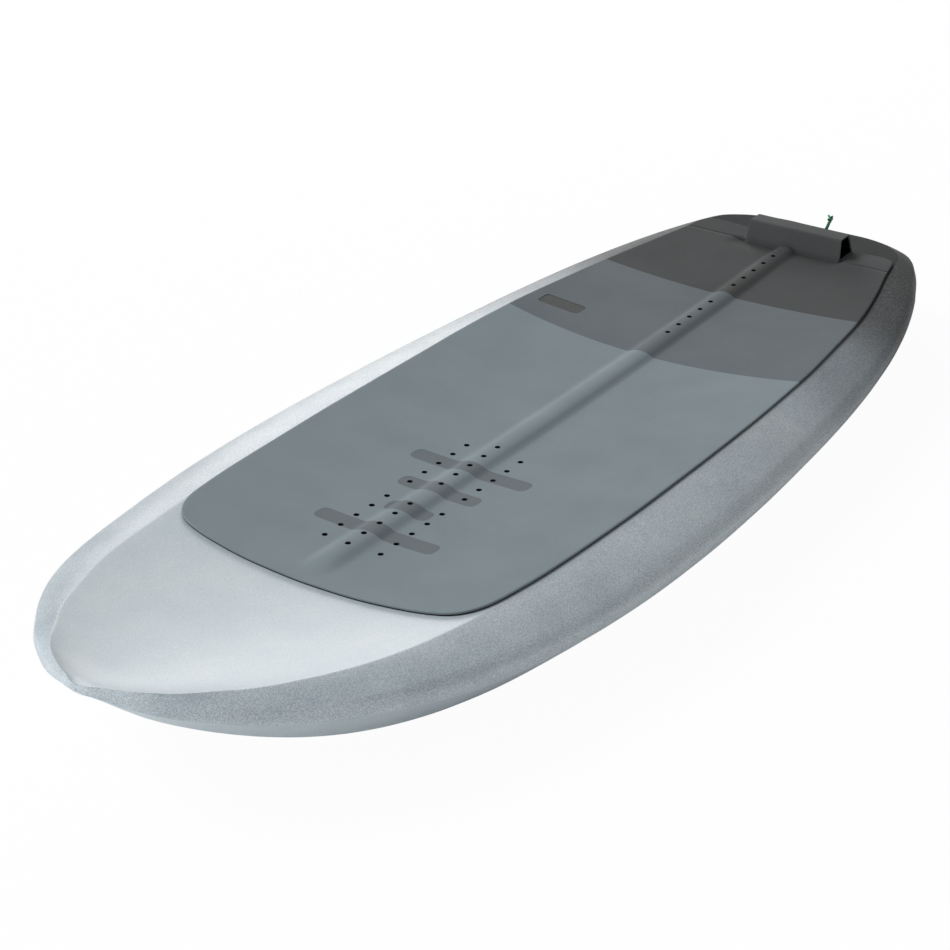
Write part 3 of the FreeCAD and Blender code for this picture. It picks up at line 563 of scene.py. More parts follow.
def post(mesh, x, y, low, high, diameter, sides):
    """An upright round in a mesh that cuts others."""
    radius = diameter / 2 * mm
    made = bmesh.ops.create_cone(
        mesh, cap_ends=True, segments=sides, radius1=radius, radius2=radius, depth=(high - low) * mm,
    )
    for vert in made["verts"]:
        vert.co += Vector((x, y, (low + high) / 2)) * mm


def rounded_post(mesh, x, y, low, high, length, width, corner, steps):
    """An upright block with round corners, in a mesh that cuts others."""
    ring = []
    for quarter, (side_x, side_y) in enumerate(((1, 1), (-1, 1), (-1, -1), (1, -1))):
        for share in shares_of(steps):
            angle = math.pi / 2 * (quarter + share)
            across = y + side_y * (width / 2 - corner) + corner * math.sin(angle)
            ring.append((x + side_x * (length / 2 - corner) + corner * math.cos(angle), across))
    rows = [[mesh.verts.new((x * mm, y * mm, z * mm)) for x, y in ring] for z in (low, high)]
    add_face(mesh, rows[0], True)
    add_face(mesh, rows[1])
    fill_rows(mesh, [row + row[:1] for row in rows])


deck_shell = shell("deck_shell", rail_at, deck_at, rail_at, edge_at)
bottom_shell = shell("bottom_shell", 0, rail_at, hard_at, rail_at)

# Foot-strap strips
strap_pitch = 25.4
strap_holes = 5
strap_column_spacing = 34.4
pad_hole_diameter = 6.2
pad_hole_low = 3.0
pad_hole_high = 12.0
insert_width = 16.0
insert_end = 10.0
insert_depth = 24.0
middle_setbacks = (177.9, 333.0)
side_setbacks = (184.9, 325.5)
rear_aheads = (197.3, 38.9)
strips = [(pad_front_x - setback, 0.0) for setback in middle_setbacks]
strips += [(pad_front_x - setback, strap_column_spacing) for setback in side_setbacks]
strips += [(pad_front_x - setback, -strap_column_spacing) for setback in side_setbacks]
strips += [(seam_x + ahead, 0.0) for ahead in rear_aheads]
strap_reach = (strap_holes - 1) * strap_pitch

# Leash cup, foil tracks, handle and vent
cup_x, cup_y = cord_route[0][:2]
cup_flange_diameter = 38.0
track_middle_x = tail_x + 470.5
track_spacing = 90.0
track_length = 300.0
track_width = 28.0
handle_x = track_middle_x + 293.0
handle_length = 150.0
handle_width = 96.0
handle_flange = 8.0
handle_corner = 22.0
handle_corner_steps = 8
vent_x = track_middle_x + 410.0
vent_flange_diameter = 30.0
over = 40.0

# Sides of the rounds that cut the skins and the pad
cup_sides = 96
vent_sides = 72
hole_sides = 28

tool = bmesh.new()
for strip_x, strip_y in strips:
    middle_x = strip_x + strap_reach / 2
    level = deck_height(middle_x, strip_y)
    box(tool, middle_x, strip_y, level - insert_depth, level + over, strap_reach + 2 * insert_end, insert_width)
level = deck_height(cup_x, cup_y)
post(tool, cup_x, cup_y, level - over, level + over, cup_flange_diameter, cup_sides)
cut(deck_shell, tool, shell_sharp)

tool = bmesh.new()
for side in (1, -1):
    box(tool, track_middle_x, side * track_spacing / 2, -over, over, track_length, track_width)
rounded_post(
    tool, handle_x, 0, -over, over, handle_length + 2 * handle_flange, handle_width + 2 * handle_flange,
    handle_corner + handle_flange, handle_corner_steps,
)
post(tool, vent_x, 0, -over, over, vent_flange_diameter, vent_sides)
cut(bottom_shell, tool, shell_sharp)


def pad_half(x):
    setback = pad_front_x - x
    if setback < pad_side_start:
        rows = pad_side_corner + ((pad_side_start, pad_half(pad_front_x - pad_side_start)),)
        return smooth([row[0] for row in rows], [row[1] for row in rows], max(setback, rows[0][0]))
    return deck_width / 2 * along(deck_half_shares, place_at(x)) - pad_margin


def bowed_line(middle_x, line_bow):
    return lambda y: middle_x + line_bow * (2 * y / deck_width) ** 2


def plan_line(points):
    """A line across the pad through points given as (distance from the middle, x)."""
    return lambda y: smooth([p[0] for p in points], [p[1] for p in points], min(abs(y), points[-1][0]))


front_points = [(0.0, pad_front_x)]
front_points += [(y, pad_front_x - setback) for y, setback in pad_front_corner]
pad_front_line = plan_line(front_points)
front_tone_line = bowed_line(seam_x + front_tone_ahead, front_tone_bow)
rear_tone_line = bowed_line(seam_x + rear_tone_ahead, rear_tone_bow)
seam_line = bowed_line(seam_x, seam_bow)
tail_seam_line = bowed_line(seam_x - seam_gap, seam_bow)
tail_pad_line = plan_line([
    (0.0, tail_rear_x), (tail_pad_rear_half, tail_rear_x),
    (tail_pad_corner_half, tail_x + tail_pad_corner_from_tail), (pad_half(tail_side_x), tail_side_x),
])

# How the pad's cut edge steps: how far each row stands in from the outline, and how far down the edge it is
edge_steps = (
    (1.0, 0.0), (0.45, 0.04), (0.12, 0.11), (0.0, 0.18), (0.0, 0.26), (0.4, 0.28), (0.4, 0.31), (0.0, 0.33),
    (0.0, 0.41), (0.4, 0.43), (0.4, 0.46), (0.0, 0.48), (0.0, 0.56), (0.5, 0.58), (0.5, 1.0),
)
half_columns = 48
columns = 2 * half_columns
plan_rounds = 12
main_cell = 5.0
tail_cell = 3.0
seam_edge = 0.3


def sheet_plan(back_line, front_line, rows):
    """Rows of points (x, y) over one sheet of the pad, from its back line to its front line. Each x is found in
    rounds, because the lines bow."""
    plan = []
    for r in range(rows + 1):
        plan.append([])
        for c in range(columns + 1):
            x = front_line(0)
            for _ in range(plan_rounds):
                y = (c - half_columns) / half_columns * pad_half(max(x, tail_side_x))
                x = back_line(y) + (front_line(y) - back_line(y)) * r / rows
            plan[-1].append((x, y))
    return plan


def border(rows, last):
    """The places (row, column) round a grid's border."""
    loop = [(0, c) for c in range(last)] + [(r, last) for r in range(rows)]
    return loop + [(rows, c) for c in range(last, 0, -1)] + [(r, 0) for r in range(rows, 0, -1)]


def outward(plan, loop, k, back_edge, front_edge):
    """The way out of a sheet at place k of its border, as long as the edge's share there. At a corner where two
    sheets meet, it is the side's own."""
    r, c = loop[k]
    rows = len(plan) - 1
    before = loop[k - 1]
    after = loop[(k + 1) % len(loop)]
    if c in (0, columns) and r == 0 and back_edge < 1:
        before, after = (0, c), (1, c)
    if c in (0, columns) and r == rows and front_edge < 1:
        before, after = (rows - 1, c), (rows, c)
    start = plan[before[0]][before[1]]
    end = plan[after[0]][after[1]]
    run = (end[0] - start[0], end[1] - start[1])
    length = math.hypot(*run)
    edge = 1.0
    if c not in (0, columns):
        edge = back_edge if r == 0 else front_edge
    out = (-run[1] / length * edge, run[0] / length * edge)
    if out[0] * (plan[r][c][0] - plan[rows // 2][half_columns][0]) + out[1] * plan[r][c][1] < 0:
        out = (-out[0], -out[1])
    return out


def sheet_point(mesh, shade, x, y, down):
    """A point of a sheet, from its face, where down is 0, to the deck, where down is 1."""
    height = deck_height(x, y) + (pad_thickness + pad_rise(x, y)) * (1 - down)
    made = mesh.verts.new((x * mm, y * mm, height * mm))
    # The painted shade of the pad's folds, which the foam's material reads
    made[shade] = painted_fold_shade(x, y)
    return made


def pad(name, back_line, front_line, back_edge, front_edge, cell):
    """One sheet of the pad between two lines across it. back_edge and front_edge say how much of the cut edge's
    shape each line gets: all at the pad's own outline, and none where it meets the next sheet."""
    rows = round((front_line(0) - back_line(0)) / cell)
    plan = sheet_plan(back_line, front_line, rows)
    loop = border(rows, columns)
    mesh = bmesh.new()
    shade = mesh.verts.layers.float.new("shade")
    top = {}
    bottom = {}
    for r in range(1, rows):
        for c in range(1, columns):
            top[(r, c)] = sheet_point(mesh, shade, *plan[r][c], 0.0)
            bottom[(r, c)] = sheet_point(mesh, shade, *plan[r][c], 1.0)
    ways = [outward(plan, loop, k, back_edge, front_edge) for k in range(len(loop))]
    rings = []
    for inset, down in edge_steps:
        places = [(plan[r][c][0] - x * inset, plan[r][c][1] - y * inset) for (r, c), (x, y) in zip(loop, ways)]
        rings.append([sheet_point(mesh, shade, x, y, down) for x, y in places])
    top.update(zip(loop, rings[0]))
    bottom.update(zip(loop, rings[-1]))
    for r in range(rows):
        for c in range(columns):
            mesh.faces.new([top[(r, c)], top[(r + 1, c)], top[(r + 1, c + 1)], top[(r, c + 1)]])
            mesh.faces.new([bottom[(r, c)], bottom[(r, c + 1)], bottom[(r + 1, c + 1)], bottom[(r + 1, c)]])
    fill_rows(mesh, [ring + ring[:1] for ring in rings])
    return finished(name, mesh, sheet_sharp)


pad_front = pad("pad_front_sheet", front_tone_line, pad_front_line, 0.0, 1.0, main_cell)
pad_middle = pad("pad_middle_sheet", rear_tone_line, front_tone_line, 0.0, 0.0, main_cell)
pad_rear = pad("pad_rear_sheet", seam_line, rear_tone_line, seam_edge, 0.0, main_cell)
pad_tail = pad("pad_tail_sheet", tail_pad_line, tail_seam_line, 1.0, seam_edge, tail_cell)

# Flat pieces let into the pad, as bars across it: (x, y, half length, width, corner)
inlay_depth = 1.0
inlay_gap = 0.1
cutter_proud = 3.0
bar_steps = 14
mark_setbacks = ((279.5, 73.0), (223.5, 48.5), (171.5, 26.5), (117.5, 73.0))
mark_width = 21.5
mark_corner = 7.5
mark_y = 3.0
mark_columns = 60
mark_drop = 0.05
mark_groove = 0.15
mark_bars = [(pad_front_x - setback, mark_y, half, mark_width, mark_corner) for setback, half in mark_setbacks]
patch_x = seam_x + 300.5
patch_y = -146.4
patch_width = 55.5
patch_length = 22.0
patch_corner = 4.0
patch_columns = 24
patch_drop = 0.3
patch_groove = 0.7
patch_bars = [(patch_x, patch_y, patch_width / 2, patch_length, patch_corner)]

# Which faces of the pad get a painted black shadow, as dark as a gap that no light reaches
wall_slope = 0.75
hole_reach = 0.1
edge_shadow = 1.7


def bar_rows(bar, columns_across, grow):
    """Rows across a bar with round ends: (x, list of y)."""
    x, y, half, width, corner = bar
    reach = width / 2 + grow
    radius = corner + grow
    rows = []
    for k in range(bar_steps + 1):
        offset = reach * math.cos(math.pi * k / bar_steps)
        past = max(0.0, abs(offset) - (reach - radius))
        end = half + grow - radius + math.sqrt(max(radius * radius - past * past, 0.0))
        rows.append((x + offset, [y + end * (2 * share - 1) for share in shares_of(columns_across)]))
    return rows


def inlay(bars, columns_across, grow, depth, proud):
    """Bars that follow the pad's face, from depth below it to proud above it."""
    mesh = bmesh.new()
    for bar in bars:
        grids = []
        for level in (proud, -depth):
            grid = []
            for x, across in bar_rows(bar, columns_across, grow):
                heights = [top_height(x, y) + level for y in across]
                grid.append([mesh.verts.new((x * mm, y * mm, z * mm)) for y, z in zip(across, heights)])
            grids.append(grid)
        upper, lower = grids
        fill_rows(mesh, upper)
        fill_rows(mesh, lower, True)
        loop = border(bar_steps, columns_across)
        for (r, c), (next_r, next_c) in zip(loop, loop[1:] + loop[:1]):
            mesh.faces.new([upper[r][c], lower[r][c], lower[next_r][next_c], upper[next_r][next_c]])
    return mesh


def holes():
    mesh = bmesh.new()
    for x, y in hole_places:
        level = deck_height(x, y)
        post(mesh, x, y, level - pad_hole_low, level + pad_hole_high, pad_hole_diameter, hole_sides)
    return mesh


def paint_gap_shadow(piece):
    """Marks the walls of the screw holes and the undercut of the cut edge for a painted black shadow, as dark as
    a gap that no light reaches.
    """
    marked = piece.data.attributes.new("gap_shadow", "FLOAT", "FACE")
    for face in piece.data.polygons:
        place = (face.center.x / mm, face.center.y / mm)
        gap_shadow = False
        if abs(face.normal.z) < wall_slope:
            gap_shadow = any(math.dist(place, centre) < pad_hole_diameter / 2 + hole_reach for centre in hole_places)
            gap_shadow = gap_shadow or face.center.z / mm < deck_height(*place) + edge_shadow
        marked.data[face.index].value = float(gap_shadow)


hole_places = [(x + k * strap_pitch, y) for x, y in strips for k in range(strap_holes)]
mark_mesh = inlay(mark_bars, mark_columns, 0.0, inlay_depth - inlay_gap, -mark_drop)
marks = finished("stance_mark_bars", mark_mesh, sheet_sharp)
cut(pad_front, inlay(mark_bars, mark_columns, mark_groove, inlay_depth, cutter_proud), sheet_sharp)
for piece in (pad_front, marks, pad_rear, pad_middle):
    cut(piece, holes(), sheet_sharp)
patch_mesh = inlay(patch_bars, patch_columns, 0.0, inlay_depth - inlay_gap, -patch_drop)
patch = finished("patch_plate", patch_mesh, sheet_sharp)
cut(pad_middle, inlay(patch_bars, patch_columns, patch_groove, inlay_depth, cutter_proud), sheet_sharp)
for piece in (pad_front, marks, pad_rear, pad_middle, pad_tail):
    paint_gap_shadow(piece)

# Kick block across the tail pad: a thin skin over a dark core
block_front_x = seam_x + 2.4
block_height = 29.6
block_port = 73.7
block_starboard = -60.5
block_end_run = 7.0
block_front_lean = 0.6
block_top_length = 24.0
block_base_length = 36.2
block_skin = 1.8
block_gap = 0.1
block_round = 2.4
block_foot_round = 4.2
block_end_recess = 1.6
block_skin_columns = 60
block_core_columns = 20
block_corner_steps = 6
block_front_shares = (0.3, 0.5, 0.7)
block_back_shares = (0.35, 0.6, 0.8)
block_foot_share = 0.0735
# How far up the block's front face the painted shade at its foot reaches, as a share of the height
painted_foot_shade_share = 0.2
block_top = deck_height(block_front_x, 0) + pad_thickness + block_height


def block_line(inside, foot):
    """Side line of the kick block as (x, share of the height), drawn in by inside, from the front foot over the
    top to the back foot."""
    front = block_front_x - inside
    top_front = front - block_front_lean
    top_back = block_front_x - block_front_lean - block_top_length + inside
    base_back = block_front_x - block_base_length + inside
    drop = 1.0 - inside / block_height
    corner = block_round / block_height
    front_shoulder = (top_front + block_front_lean * corner, drop - corner)
    back_shoulder = (top_back + (base_back - top_back) * corner, drop - corner)
    turns = shares_of(block_corner_steps)
    points = [(front, 0.0)]
    if foot:
        points = [bow((front + foot, 0.0), (front, 0.0), (front, foot / block_height), turn) for turn in turns]
    points += [(front - block_front_lean * share, drop * share) for share in block_front_shares]
    points += [bow(front_shoulder, (top_front, drop), (top_front - block_round, drop), turn) for turn in turns]
    points.append(((top_front + top_back) / 2, drop))
    points += [bow((top_back + block_round, drop), (top_back, drop), back_shoulder, turn) for turn in turns]
    points += [(top_back + (base_back - top_back) * share, drop * (1 - share)) for share in block_back_shares]
    points.append((base_back, 0.0))
    return points


def block_point(mesh, x, y, share):
    """A point of the kick block, which sinks into the pad at its starboard end and stands on the deck where the
    pad has ended."""
    floor = top_height(max(x, x_at(block_foot_share)), y)
    if x < tail_rear_x:
        floor = deck_height(x, y)
    share *= eased(max(0.0, min(1.0, (y - block_starboard) / block_end_run)))
    return mesh.verts.new((x * mm, y * mm, (floor + (block_top - floor) * share) * mm))


def bridge(mesh, one, two):
    """Triangles between two lines of points that run the same way."""
    a = b = 0
    while a < len(one) - 1 or b < len(two) - 1:
        behind = a < len(one) - 1 and (a + 1) / len(one) <= (b + 1) / len(two)
        if behind or b == len(two) - 1:
            mesh.faces.new([one[a], one[a + 1], two[b]])
            a += 1
        else:
            mesh.faces.new([one[a], two[b + 1], two[b]])
            b += 1


def block_skin_mesh():
    mesh = bmesh.new()
    shade = mesh.verts.layers.float.new("shade")
    outer_line = block_line(0.0, block_foot_round)
    inner_line = block_line(block_skin, 0.0)
    rows = []
    for x, share in outer_line + inner_line[::-1]:
        across = shares_of(block_skin_columns, block_starboard, block_port)
        rows.append([block_point(mesh, x, y, share) for y in across])
        for vert in rows[-1]:
            # Painted shade at the foot of the block's front face, fading up the face
            vert[shade] = max(0.0, 1 - share / painted_foot_shade_share) if x > block_front_x - block_skin else 0.0
    fill_rows(mesh, rows + rows[:1])
    for k in (0, -1):
        ends = [row[k] for row in rows]
        bridge(mesh, ends[:len(outer_line)], ends[len(outer_line):][::-1])
    return mesh


def block_core_mesh():
    mesh = bmesh.new()
    across = shares_of(block_core_columns, block_starboard + block_end_run, block_port - block_end_recess)
    rows = []
    for x, share in block_line(block_skin + block_gap, 0.0):
        rows.append([block_point(mesh, x, y, share) for y in across])
    fill_rows(mesh, rows + rows[:1])
    for k in (0, -1):
        mesh.faces.new([row[k] for row in rows])
    return mesh


block_cover = finished("kick_block_skin", block_skin_mesh(), block_sharp)
block_core = finished("kick_block_foam", block_core_mesh(), block_sharp)

# The knot: a strand wound on itself, and the cord's two short ends as (forward, outward, up) from its middle
knot_middle = (-640.6, 23.0, 134.6)
knot_flatness = 1.5
knot_strand = 2.7
knot_points = 30
knot_sides = 6
knot_steps = 6
knot_end = ((0.0, 0.3, 0.5), (0.0, 0.9, 2.2), (0.4, 2.0, 3.6), (0.6, 3.4, 5.0))


def knot_piece():
    data = round_curve("leash_knot_strand", knot_strand, knot_sides, knot_steps)
    middle_x, middle_y, middle_z = knot_middle
    wound = []
    for k in range(knot_points):
        angle = 2 * math.pi * k / knot_points
        x = math.sin(angle) + 2 * math.sin(2 * angle)
        z = math.cos(angle) - 2 * math.cos(2 * angle)
        wound.append((middle_x + x, middle_y - math.sin(3 * angle) * knot_flatness, middle_z + z))
    strand(data, wound, 4, True)
    for side in (1, -1):
        strand(data, [(middle_x + side * x, middle_y + side * y, middle_z + z) for x, y, z in knot_end], 3)
    return add("leash_knot_strand", data)


knot = knot_piece()


def tint(red, green, blue):
    """A colour given as it looks on screen, from 0 to 255."""
    out = []
    for value in (red, green, blue):
        share = value / 255
        out.append(share / 12.92 if share <= 0.04045 else ((share + 0.055) / 1.055) ** 2.4)
    return (*out, 1.0)


def material(name, **sockets):
    made = bpy.data.materials.new(name)
    made.use_nodes = True
    shader = made.node_tree.nodes["Principled BSDF"]
    for socket, value in sockets.items():
        shader.inputs[socket.replace("_", " ")].default_value = value
    return made, made.node_tree, shader


def feed(tree, target, **sockets):
    """Links or sets a node's inputs."""
    for name, value in sockets.items():
        join(tree, value, target.inputs[name.replace("_", " ")])


def join(tree, value, socket):
    if isinstance(value, bpy.types.NodeSocket):
        tree.links.new(value, socket)
    else:
        socket.default_value = value


def node(tree, kind, **inputs):
    made = tree.nodes.new(kind)
    feed(tree, made, **inputs)
    return made


def coords(tree):
    return tree.nodes.new("ShaderNodeTexCoord").outputs["Object"]


def attribute(tree, name):
    made = tree.nodes.new("ShaderNodeAttribute")
    made.attribute_name = name
    return made.outputs["Fac"]


def noise(tree, scale, detail=2.0, rough=0.5, stretch=None):
    where = coords(tree)
    if stretch:
        where = node(tree, "ShaderNodeMapping", Vector=where, Scale=stretch).outputs["Vector"]
    made = node(tree, "ShaderNodeTexNoise", Vector=where, Scale=scale, Detail=detail, Roughness=rough)
    return made.outputs["Fac"]


def ranged(tree, value, low, high, to_low=0.0, to_high=1.0):
    made = node(
        tree, "ShaderNodeMapRange", Value=value, From_Min=low, From_Max=high, To_Min=to_low, To_Max=to_high
    )
    return made.outputs["Result"]


def mix(tree, share, one, two, kind="MIX"):
    made = tree.nodes.new("ShaderNodeMix")
    made.data_type = "RGBA"
    made.blend_type = kind
    for socket, value in ((made.inputs["Factor"], share), (made.inputs[6], one), (made.inputs[7], two)):
        join(tree, value, socket)
    return made.outputs[2]


def darker(tree, base, red, green, blue):
    """A colour dimmed all over, to this much of its red, green and blue."""
    return mix(tree, 1.0, base, tint(red, green, blue), "MULTIPLY")


def lighter(tree, base, share):
    return mix(tree, share, base, white, "SCREEN")


def ramp(tree, value, stops):
    made = node(tree, "ShaderNodeValToRGB", Fac=value)
    made.color_ramp.interpolation = "EASE"
    elements = made.color_ramp.elements
    while len(elements) < len(stops):
        elements.new(0.5)
    for element, (place, colour) in zip(elements, stops):
        element.position = place
        element.color = colour
    return made.outputs["Color"]


def bump(tree, shader, height, distance, strength, under=None):
    made = node(tree, "ShaderNodeBump", Height=height, Distance=distance, Strength=strength)
    if under:
        feed(tree, made, Normal=under)
    feed(tree, shader, Normal=made.outputs["Normal"])
    return made.outputs["Normal"]


def along_board(tree):
    """Place along the board, from the tail, 0, to the nose, 1."""
    split = node(tree, "ShaderNodeSeparateXYZ", Vector=coords(tree))
    return ranged(tree, split.outputs["X"], tail_x * mm, -tail_x * mm)


white = (1.0, 1.0, 1.0, 1.0)

# The hull's paint along the board: place and colour
paint_stops = (
    (0.0, tint(60, 62, 62)), (0.1, tint(59, 61, 61)), (0.17, tint(65, 68, 69)), (0.29, tint(144, 151, 155)),
    (0.4, tint(184, 192, 196)), (0.62, tint(193, 202, 206)), (1.0, tint(195, 206, 211)),
)

# Sizes of the foam's cells and of the fine grains, as noise scales, and the depths of their bumps in metres
paint_grain = 900.0
foam_cells = 1500.0
moulded_grain = 1200.0
fabric_grain = 2600.0
scratch_grain = 900.0
fine_depth = 0.00003
moulded_depth = 0.00006
fibre_depth = 0.0001
cell_depth = 0.00012
fabric_depth = 0.0002
braid_depth = 0.0004


def hull_paint(name):
    """Satin paint with a fine grain, coarser on the board's sides, and matt at the tail."""
    made, tree, shader = material(name, Coat_Roughness=0.32)
    place = along_board(tree)
    base = ramp(tree, place, paint_stops)
    cloud = ranged(tree, noise(tree, 16.0, 4.0, 0.6), 0.3, 0.7)
    base = mix(tree, cloud, base, darker(tree, base, 240, 244, 247))
    grain = ranged(tree, noise(tree, paint_grain, 1.0, 0.6), 0.34, 0.66)
    on_side = ranged(tree, attribute(tree, "side"), 0.4, 0.6)
    soft = mix(tree, grain, darker(tree, base, 226, 228, 230), base)
    shade = ranged(tree, noise(tree, 16.0, 3.0, 0.6, (1.0, 1.0, 2.5)), 0.35, 0.65)
    clouded = mix(tree, shade, darker(tree, base, 240, 241, 243), base)
    coarse = mix(tree, grain, darker(tree, clouded, 204, 207, 210), lighter(tree, clouded, 0.11))
    feed(
        tree, shader, Base_Color=mix(tree, on_side, soft, coarse),
        Coat_Weight=ranged(tree, place, 0.2, 0.5, 0.0, 0.42),
        Specular_IOR_Level=ranged(tree, place, 0.15, 0.45, 0.15, 0.5),
        Roughness=ranged(tree, grain, 0.0, 1.0, 0.48, 0.6),
    )
    bump(tree, shader, grain, fine_depth, 0.5)
    return made


def foam_sheet(name, colour):
    """Closed-cell foam with a brushed face: fine cells, soft clouds of wear and a slight sheen, and painted shade
    and shadow where the mesh marks them.
    """
    made, tree, shader = material(name, Sheen_Weight=0.12, Sheen_Roughness=0.5, Specular_IOR_Level=0.3)
    cells = noise(tree, foam_cells, 2.0, 0.6)
    cloud = noise(tree, 14.0, 4.0, 0.55)
    dark = darker(tree, colour, 238, 238, 238)
    base = mix(tree, ranged(tree, cells, 0.3, 0.7), dark, lighter(tree, colour, 0.008))
    base = mix(tree, ranged(tree, cloud, 0.35, 0.7, 0.0, 0.5), base, darker(tree, base, 240, 241, 241))
    # Painted shade, where the mesh's shade attribute says: in the pad's folds and at the kick block's foot
    base = mix(tree, attribute(tree, "shade"), base, darker(tree, base, 156, 157, 158))
    # Painted black shadow on faces marked as gaps: the screw holes' walls and the undercut of the cut edge
    base = mix(tree, attribute(tree, "gap_shadow"), base, tint(3, 3, 3))
    feed(tree, shader, Base_Color=base, Roughness=ranged(tree, cloud, 0.3, 0.7, 0.8, 0.93))
    bump(tree, shader, cells, cell_depth, 0.5)
    return made


def bare_foam(name, colour):
    """Cut foam that gives back next to no light."""
    made, tree, shader = material(name, Roughness=1.0, Specular_IOR_Level=0.0)
    cells = noise(tree, foam_cells, 2.0, 0.6)
    feed(tree, shader, Base_Color=mix(tree, cells, colour, darker(tree, colour, 200, 200, 200)))
    bump(tree, shader, cells, cell_depth, 0.4)
    return made


def moulded(name, colour, rough=0.5, scale=moulded_grain, depth=moulded_depth):
    made, tree, shader = material(name)
    grain = noise(tree, scale, 2.0, 0.6)
    cloud = ranged(tree, noise(tree, 40.0, 3.0), 0.3, 0.7)
    feed(
        tree, shader, Base_Color=mix(tree, cloud, colour, darker(tree, colour, 232, 233, 234)),
        Roughness=ranged(tree, grain, 0.3, 0.7, rough - 0.07, rough + 0.08),
    )
    bump(tree, shader, grain, depth, 0.6)
    return made


def brushed(name, colour, rough, stretch):
    made, tree, shader = material(name, Metallic=1.0)
    scratch = noise(tree, scratch_grain, 3.0, 0.6, stretch)
    feed(
        tree, shader,
        Base_Color=mix(tree, ranged(tree, scratch, 0.3, 0.7), colour, darker(tree, colour, 222, 220, 216)),
        Roughness=ranged(tree, scratch, 0.3, 0.7, rough - 0.08, rough + 0.1),
    )
    bump(tree, shader, scratch, fine_depth, 0.5)
    return made


def braid(name):
    """Braided cord: dark and green carriers that cross, with fibres along them."""
    made, tree, shader = material(name, Roughness=0.7, Sheen_Weight=0.2)
    flecks = node(tree, "ShaderNodeTexVoronoi", Vector=coords(tree), Scale=560.0)
    pick = node(tree, "ShaderNodeSeparateColor", Color=flecks.outputs["Color"]).outputs["Red"]
    base = ramp(tree, pick, (
        (0.0, tint(24, 30, 28)), (0.42, tint(34, 44, 40)), (0.5, tint(60, 180, 130)), (1.0, tint(96, 214, 160)),
    ))
    fibre = noise(tree, 2400.0, 2.0, 0.6, (1.0, 1.0, 0.25))
    base = mix(tree, ranged(tree, fibre, 0.3, 0.7), base, darker(tree, base, 190, 196, 192))
    feed(tree, shader, Base_Color=base)
    first = bump(tree, shader, flecks.outputs["Distance"], braid_depth, 0.8)
    bump(tree, shader, fibre, fibre_depth, 0.5, first)
    return made


pad_dark = foam_sheet("pad_dark", tint(59, 61, 62))
cord_braid = braid("cord_braid")

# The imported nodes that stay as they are: a material, and how the names of its nodes start
for made, starts in (
    (foam_sheet("core_foam", tint(236, 236, 230)), "foam_core"),
    (foam_sheet("dense_foam", tint(214, 196, 150)), ("track_block", "front_strap_plate", "rear_strap_plate")),
    (moulded("insert_plastic", tint(14, 15, 15)), "strap_insert"),
    (moulded("track_plastic", tint(30, 31, 32), 0.4), "foil_track"),
    (brushed("nut_brass", tint(196, 160, 92), 0.34, (1.0, 8.0, 8.0)), "t_nut"),
    (moulded("handle_plastic", tint(34, 35, 36), 0.48), "handle"),
    (moulded("vent_plastic", tint(40, 41, 43), 0.42), ("vent_bush", "vent_screw")),
    (moulded("seal_rubber", tint(18, 18, 18), 0.66), "vent_seal"),
    (moulded("membrane_fabric", tint(226, 226, 222), 0.8, fabric_grain, fabric_depth), "vent_membrane"),
    (moulded("cup_plastic", tint(26, 27, 28), 0.45), "leash_cup"),
    (brushed("pin_steel", tint(198, 200, 202), 0.26, (8.0, 1.0, 8.0)), "leash_pin"),
):
    for name in nodes:
        if name.startswith(starts):
            nodes[name].data.materials.clear()
            nodes[name].data.materials.append(made)

# The modelled pieces: the node each one replaces, its material and its slot
for piece, replaced, made, slot in (
    (deck_shell, "deck_skin", hull_paint("deck_paint"), "deck_paint"),
    (bottom_shell, "bottom_skin", hull_paint("bottom_paint"), "bottom_paint"),
    (pad_front, "deck_pad_front", foam_sheet("pad_light", tint(125, 138, 144)), "pad_light"),
    (pad_middle, "deck_pad_middle", foam_sheet("pad_mid", tint(95, 104, 109)), "pad_mid"),
    (pad_rear, "deck_pad_rear", pad_dark, "pad_dark"),
    (pad_tail, "tail_pad", pad_dark, "pad_tail"),
    (marks, "stance_marks", foam_sheet("mark_foam", tint(101, 110, 115)), "mark_foam"),
    (patch, "pad_patch", moulded("patch_rubber", tint(58, 60, 60), 0.6), "patch_rubber"),
    # The kick block's cover is the dark pad foam made lighter: painted light that brightens its upright front
    # face
    (block_cover, "kick_block_cover", foam_sheet("cover_foam_painted_light", tint(71, 73, 74)), "pad_tail"),
    (block_core, "kick_block_core", bare_foam("block_core_foam", tint(4, 4, 4)), "block_core_foam"),
    (cord, "leash_cord", cord_braid, "cord_braid"),
    (knot, "leash_knot", cord_braid, "cord_braid"),
):
    piece.data.materials.clear()
    piece.data.materials.append(made)
    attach(piece, "board")
    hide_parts(replaced)

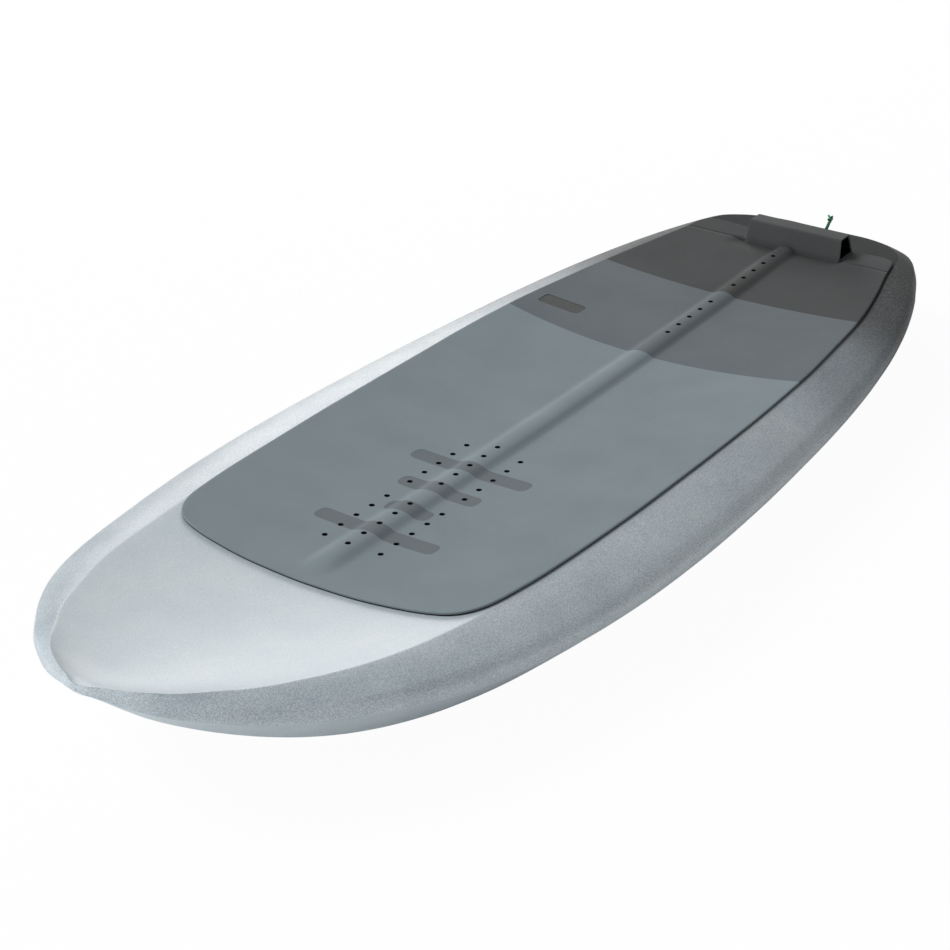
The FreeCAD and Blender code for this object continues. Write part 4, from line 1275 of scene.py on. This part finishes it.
# Floor, lamps and the white background
floor_half = 9.0
floor_gap = 0.0006
floor_glow = 0.96
ambient_strength = 0.3
key_angle = 24.0
key_strength = 1.8
key_heading = (-0.36, 0.57, -0.74)


def show_camera(tree, lit, kind, share, output):
    """Shows the camera plain white in place of the lit shader, by this share."""
    bright = node(tree, kind, Color=white, Strength=1.0)
    path = tree.nodes.new("ShaderNodeLightPath")
    blend = tree.nodes.new("ShaderNodeMixShader")
    seen = ranged(tree, path.outputs["Is Camera Ray"], 0.0, 1.0, 0.0, share)
    for value, socket in zip((seen, lit.outputs[0], bright.outputs[0]), blend.inputs):
        tree.links.new(value, socket)
    tree.links.new(blend.outputs[0], tree.nodes[output].inputs["Surface"])


floor_mesh = bmesh.new()
bmesh.ops.create_grid(floor_mesh, x_segments=2, y_segments=2, size=floor_half)
floor = placed("floor", floor_mesh)
floor.location = (0.0, 0.0, -floor_gap)
floor_material, tree, shader = material("floor", Base_Color=(0.92, 0.92, 0.92, 1.0), Roughness=0.9)
show_camera(tree, shader, "ShaderNodeEmission", floor_glow, "Material Output")
floor.data.materials.append(floor_material)

world = bpy.data.worlds.new("studio")
bpy.context.scene.world = world
world.use_nodes = True
sky = world.node_tree
ambient = sky.nodes["Background"]
feed(sky, ambient, Color=white, Strength=ambient_strength)
show_camera(sky, ambient, "ShaderNodeBackground", 1.0, "World Output")


def lamp(name, place, target, width, power):
    """A round lamp at a place, aimed at a point. Metres and watts."""
    data = bpy.data.lights.new(name, "AREA")
    data.shape = "DISK"
    data.size = width
    data.energy = power
    made = add(name, data)
    made.location = place
    aim(made, Vector(target) - Vector(place))


key_data = bpy.data.lights.new("key", "SUN")
key_data.energy = key_strength
key_data.angle = math.radians(key_angle)
aim(add("key", key_data), key_heading)
lamp("softbox", (-2.7, -2.7, 1.25), (0.2, 0.0, 0.1), 2.0, 44.0)
lamp("port fill", (1.2, 3.8, 0.5), (0.0, 0.0, 0.1), 2.4, 30.0)
lamp("nose fill", (3.2, -1.7, 0.7), (-0.3, 0.0, 0.1), 2.4, 56.0)
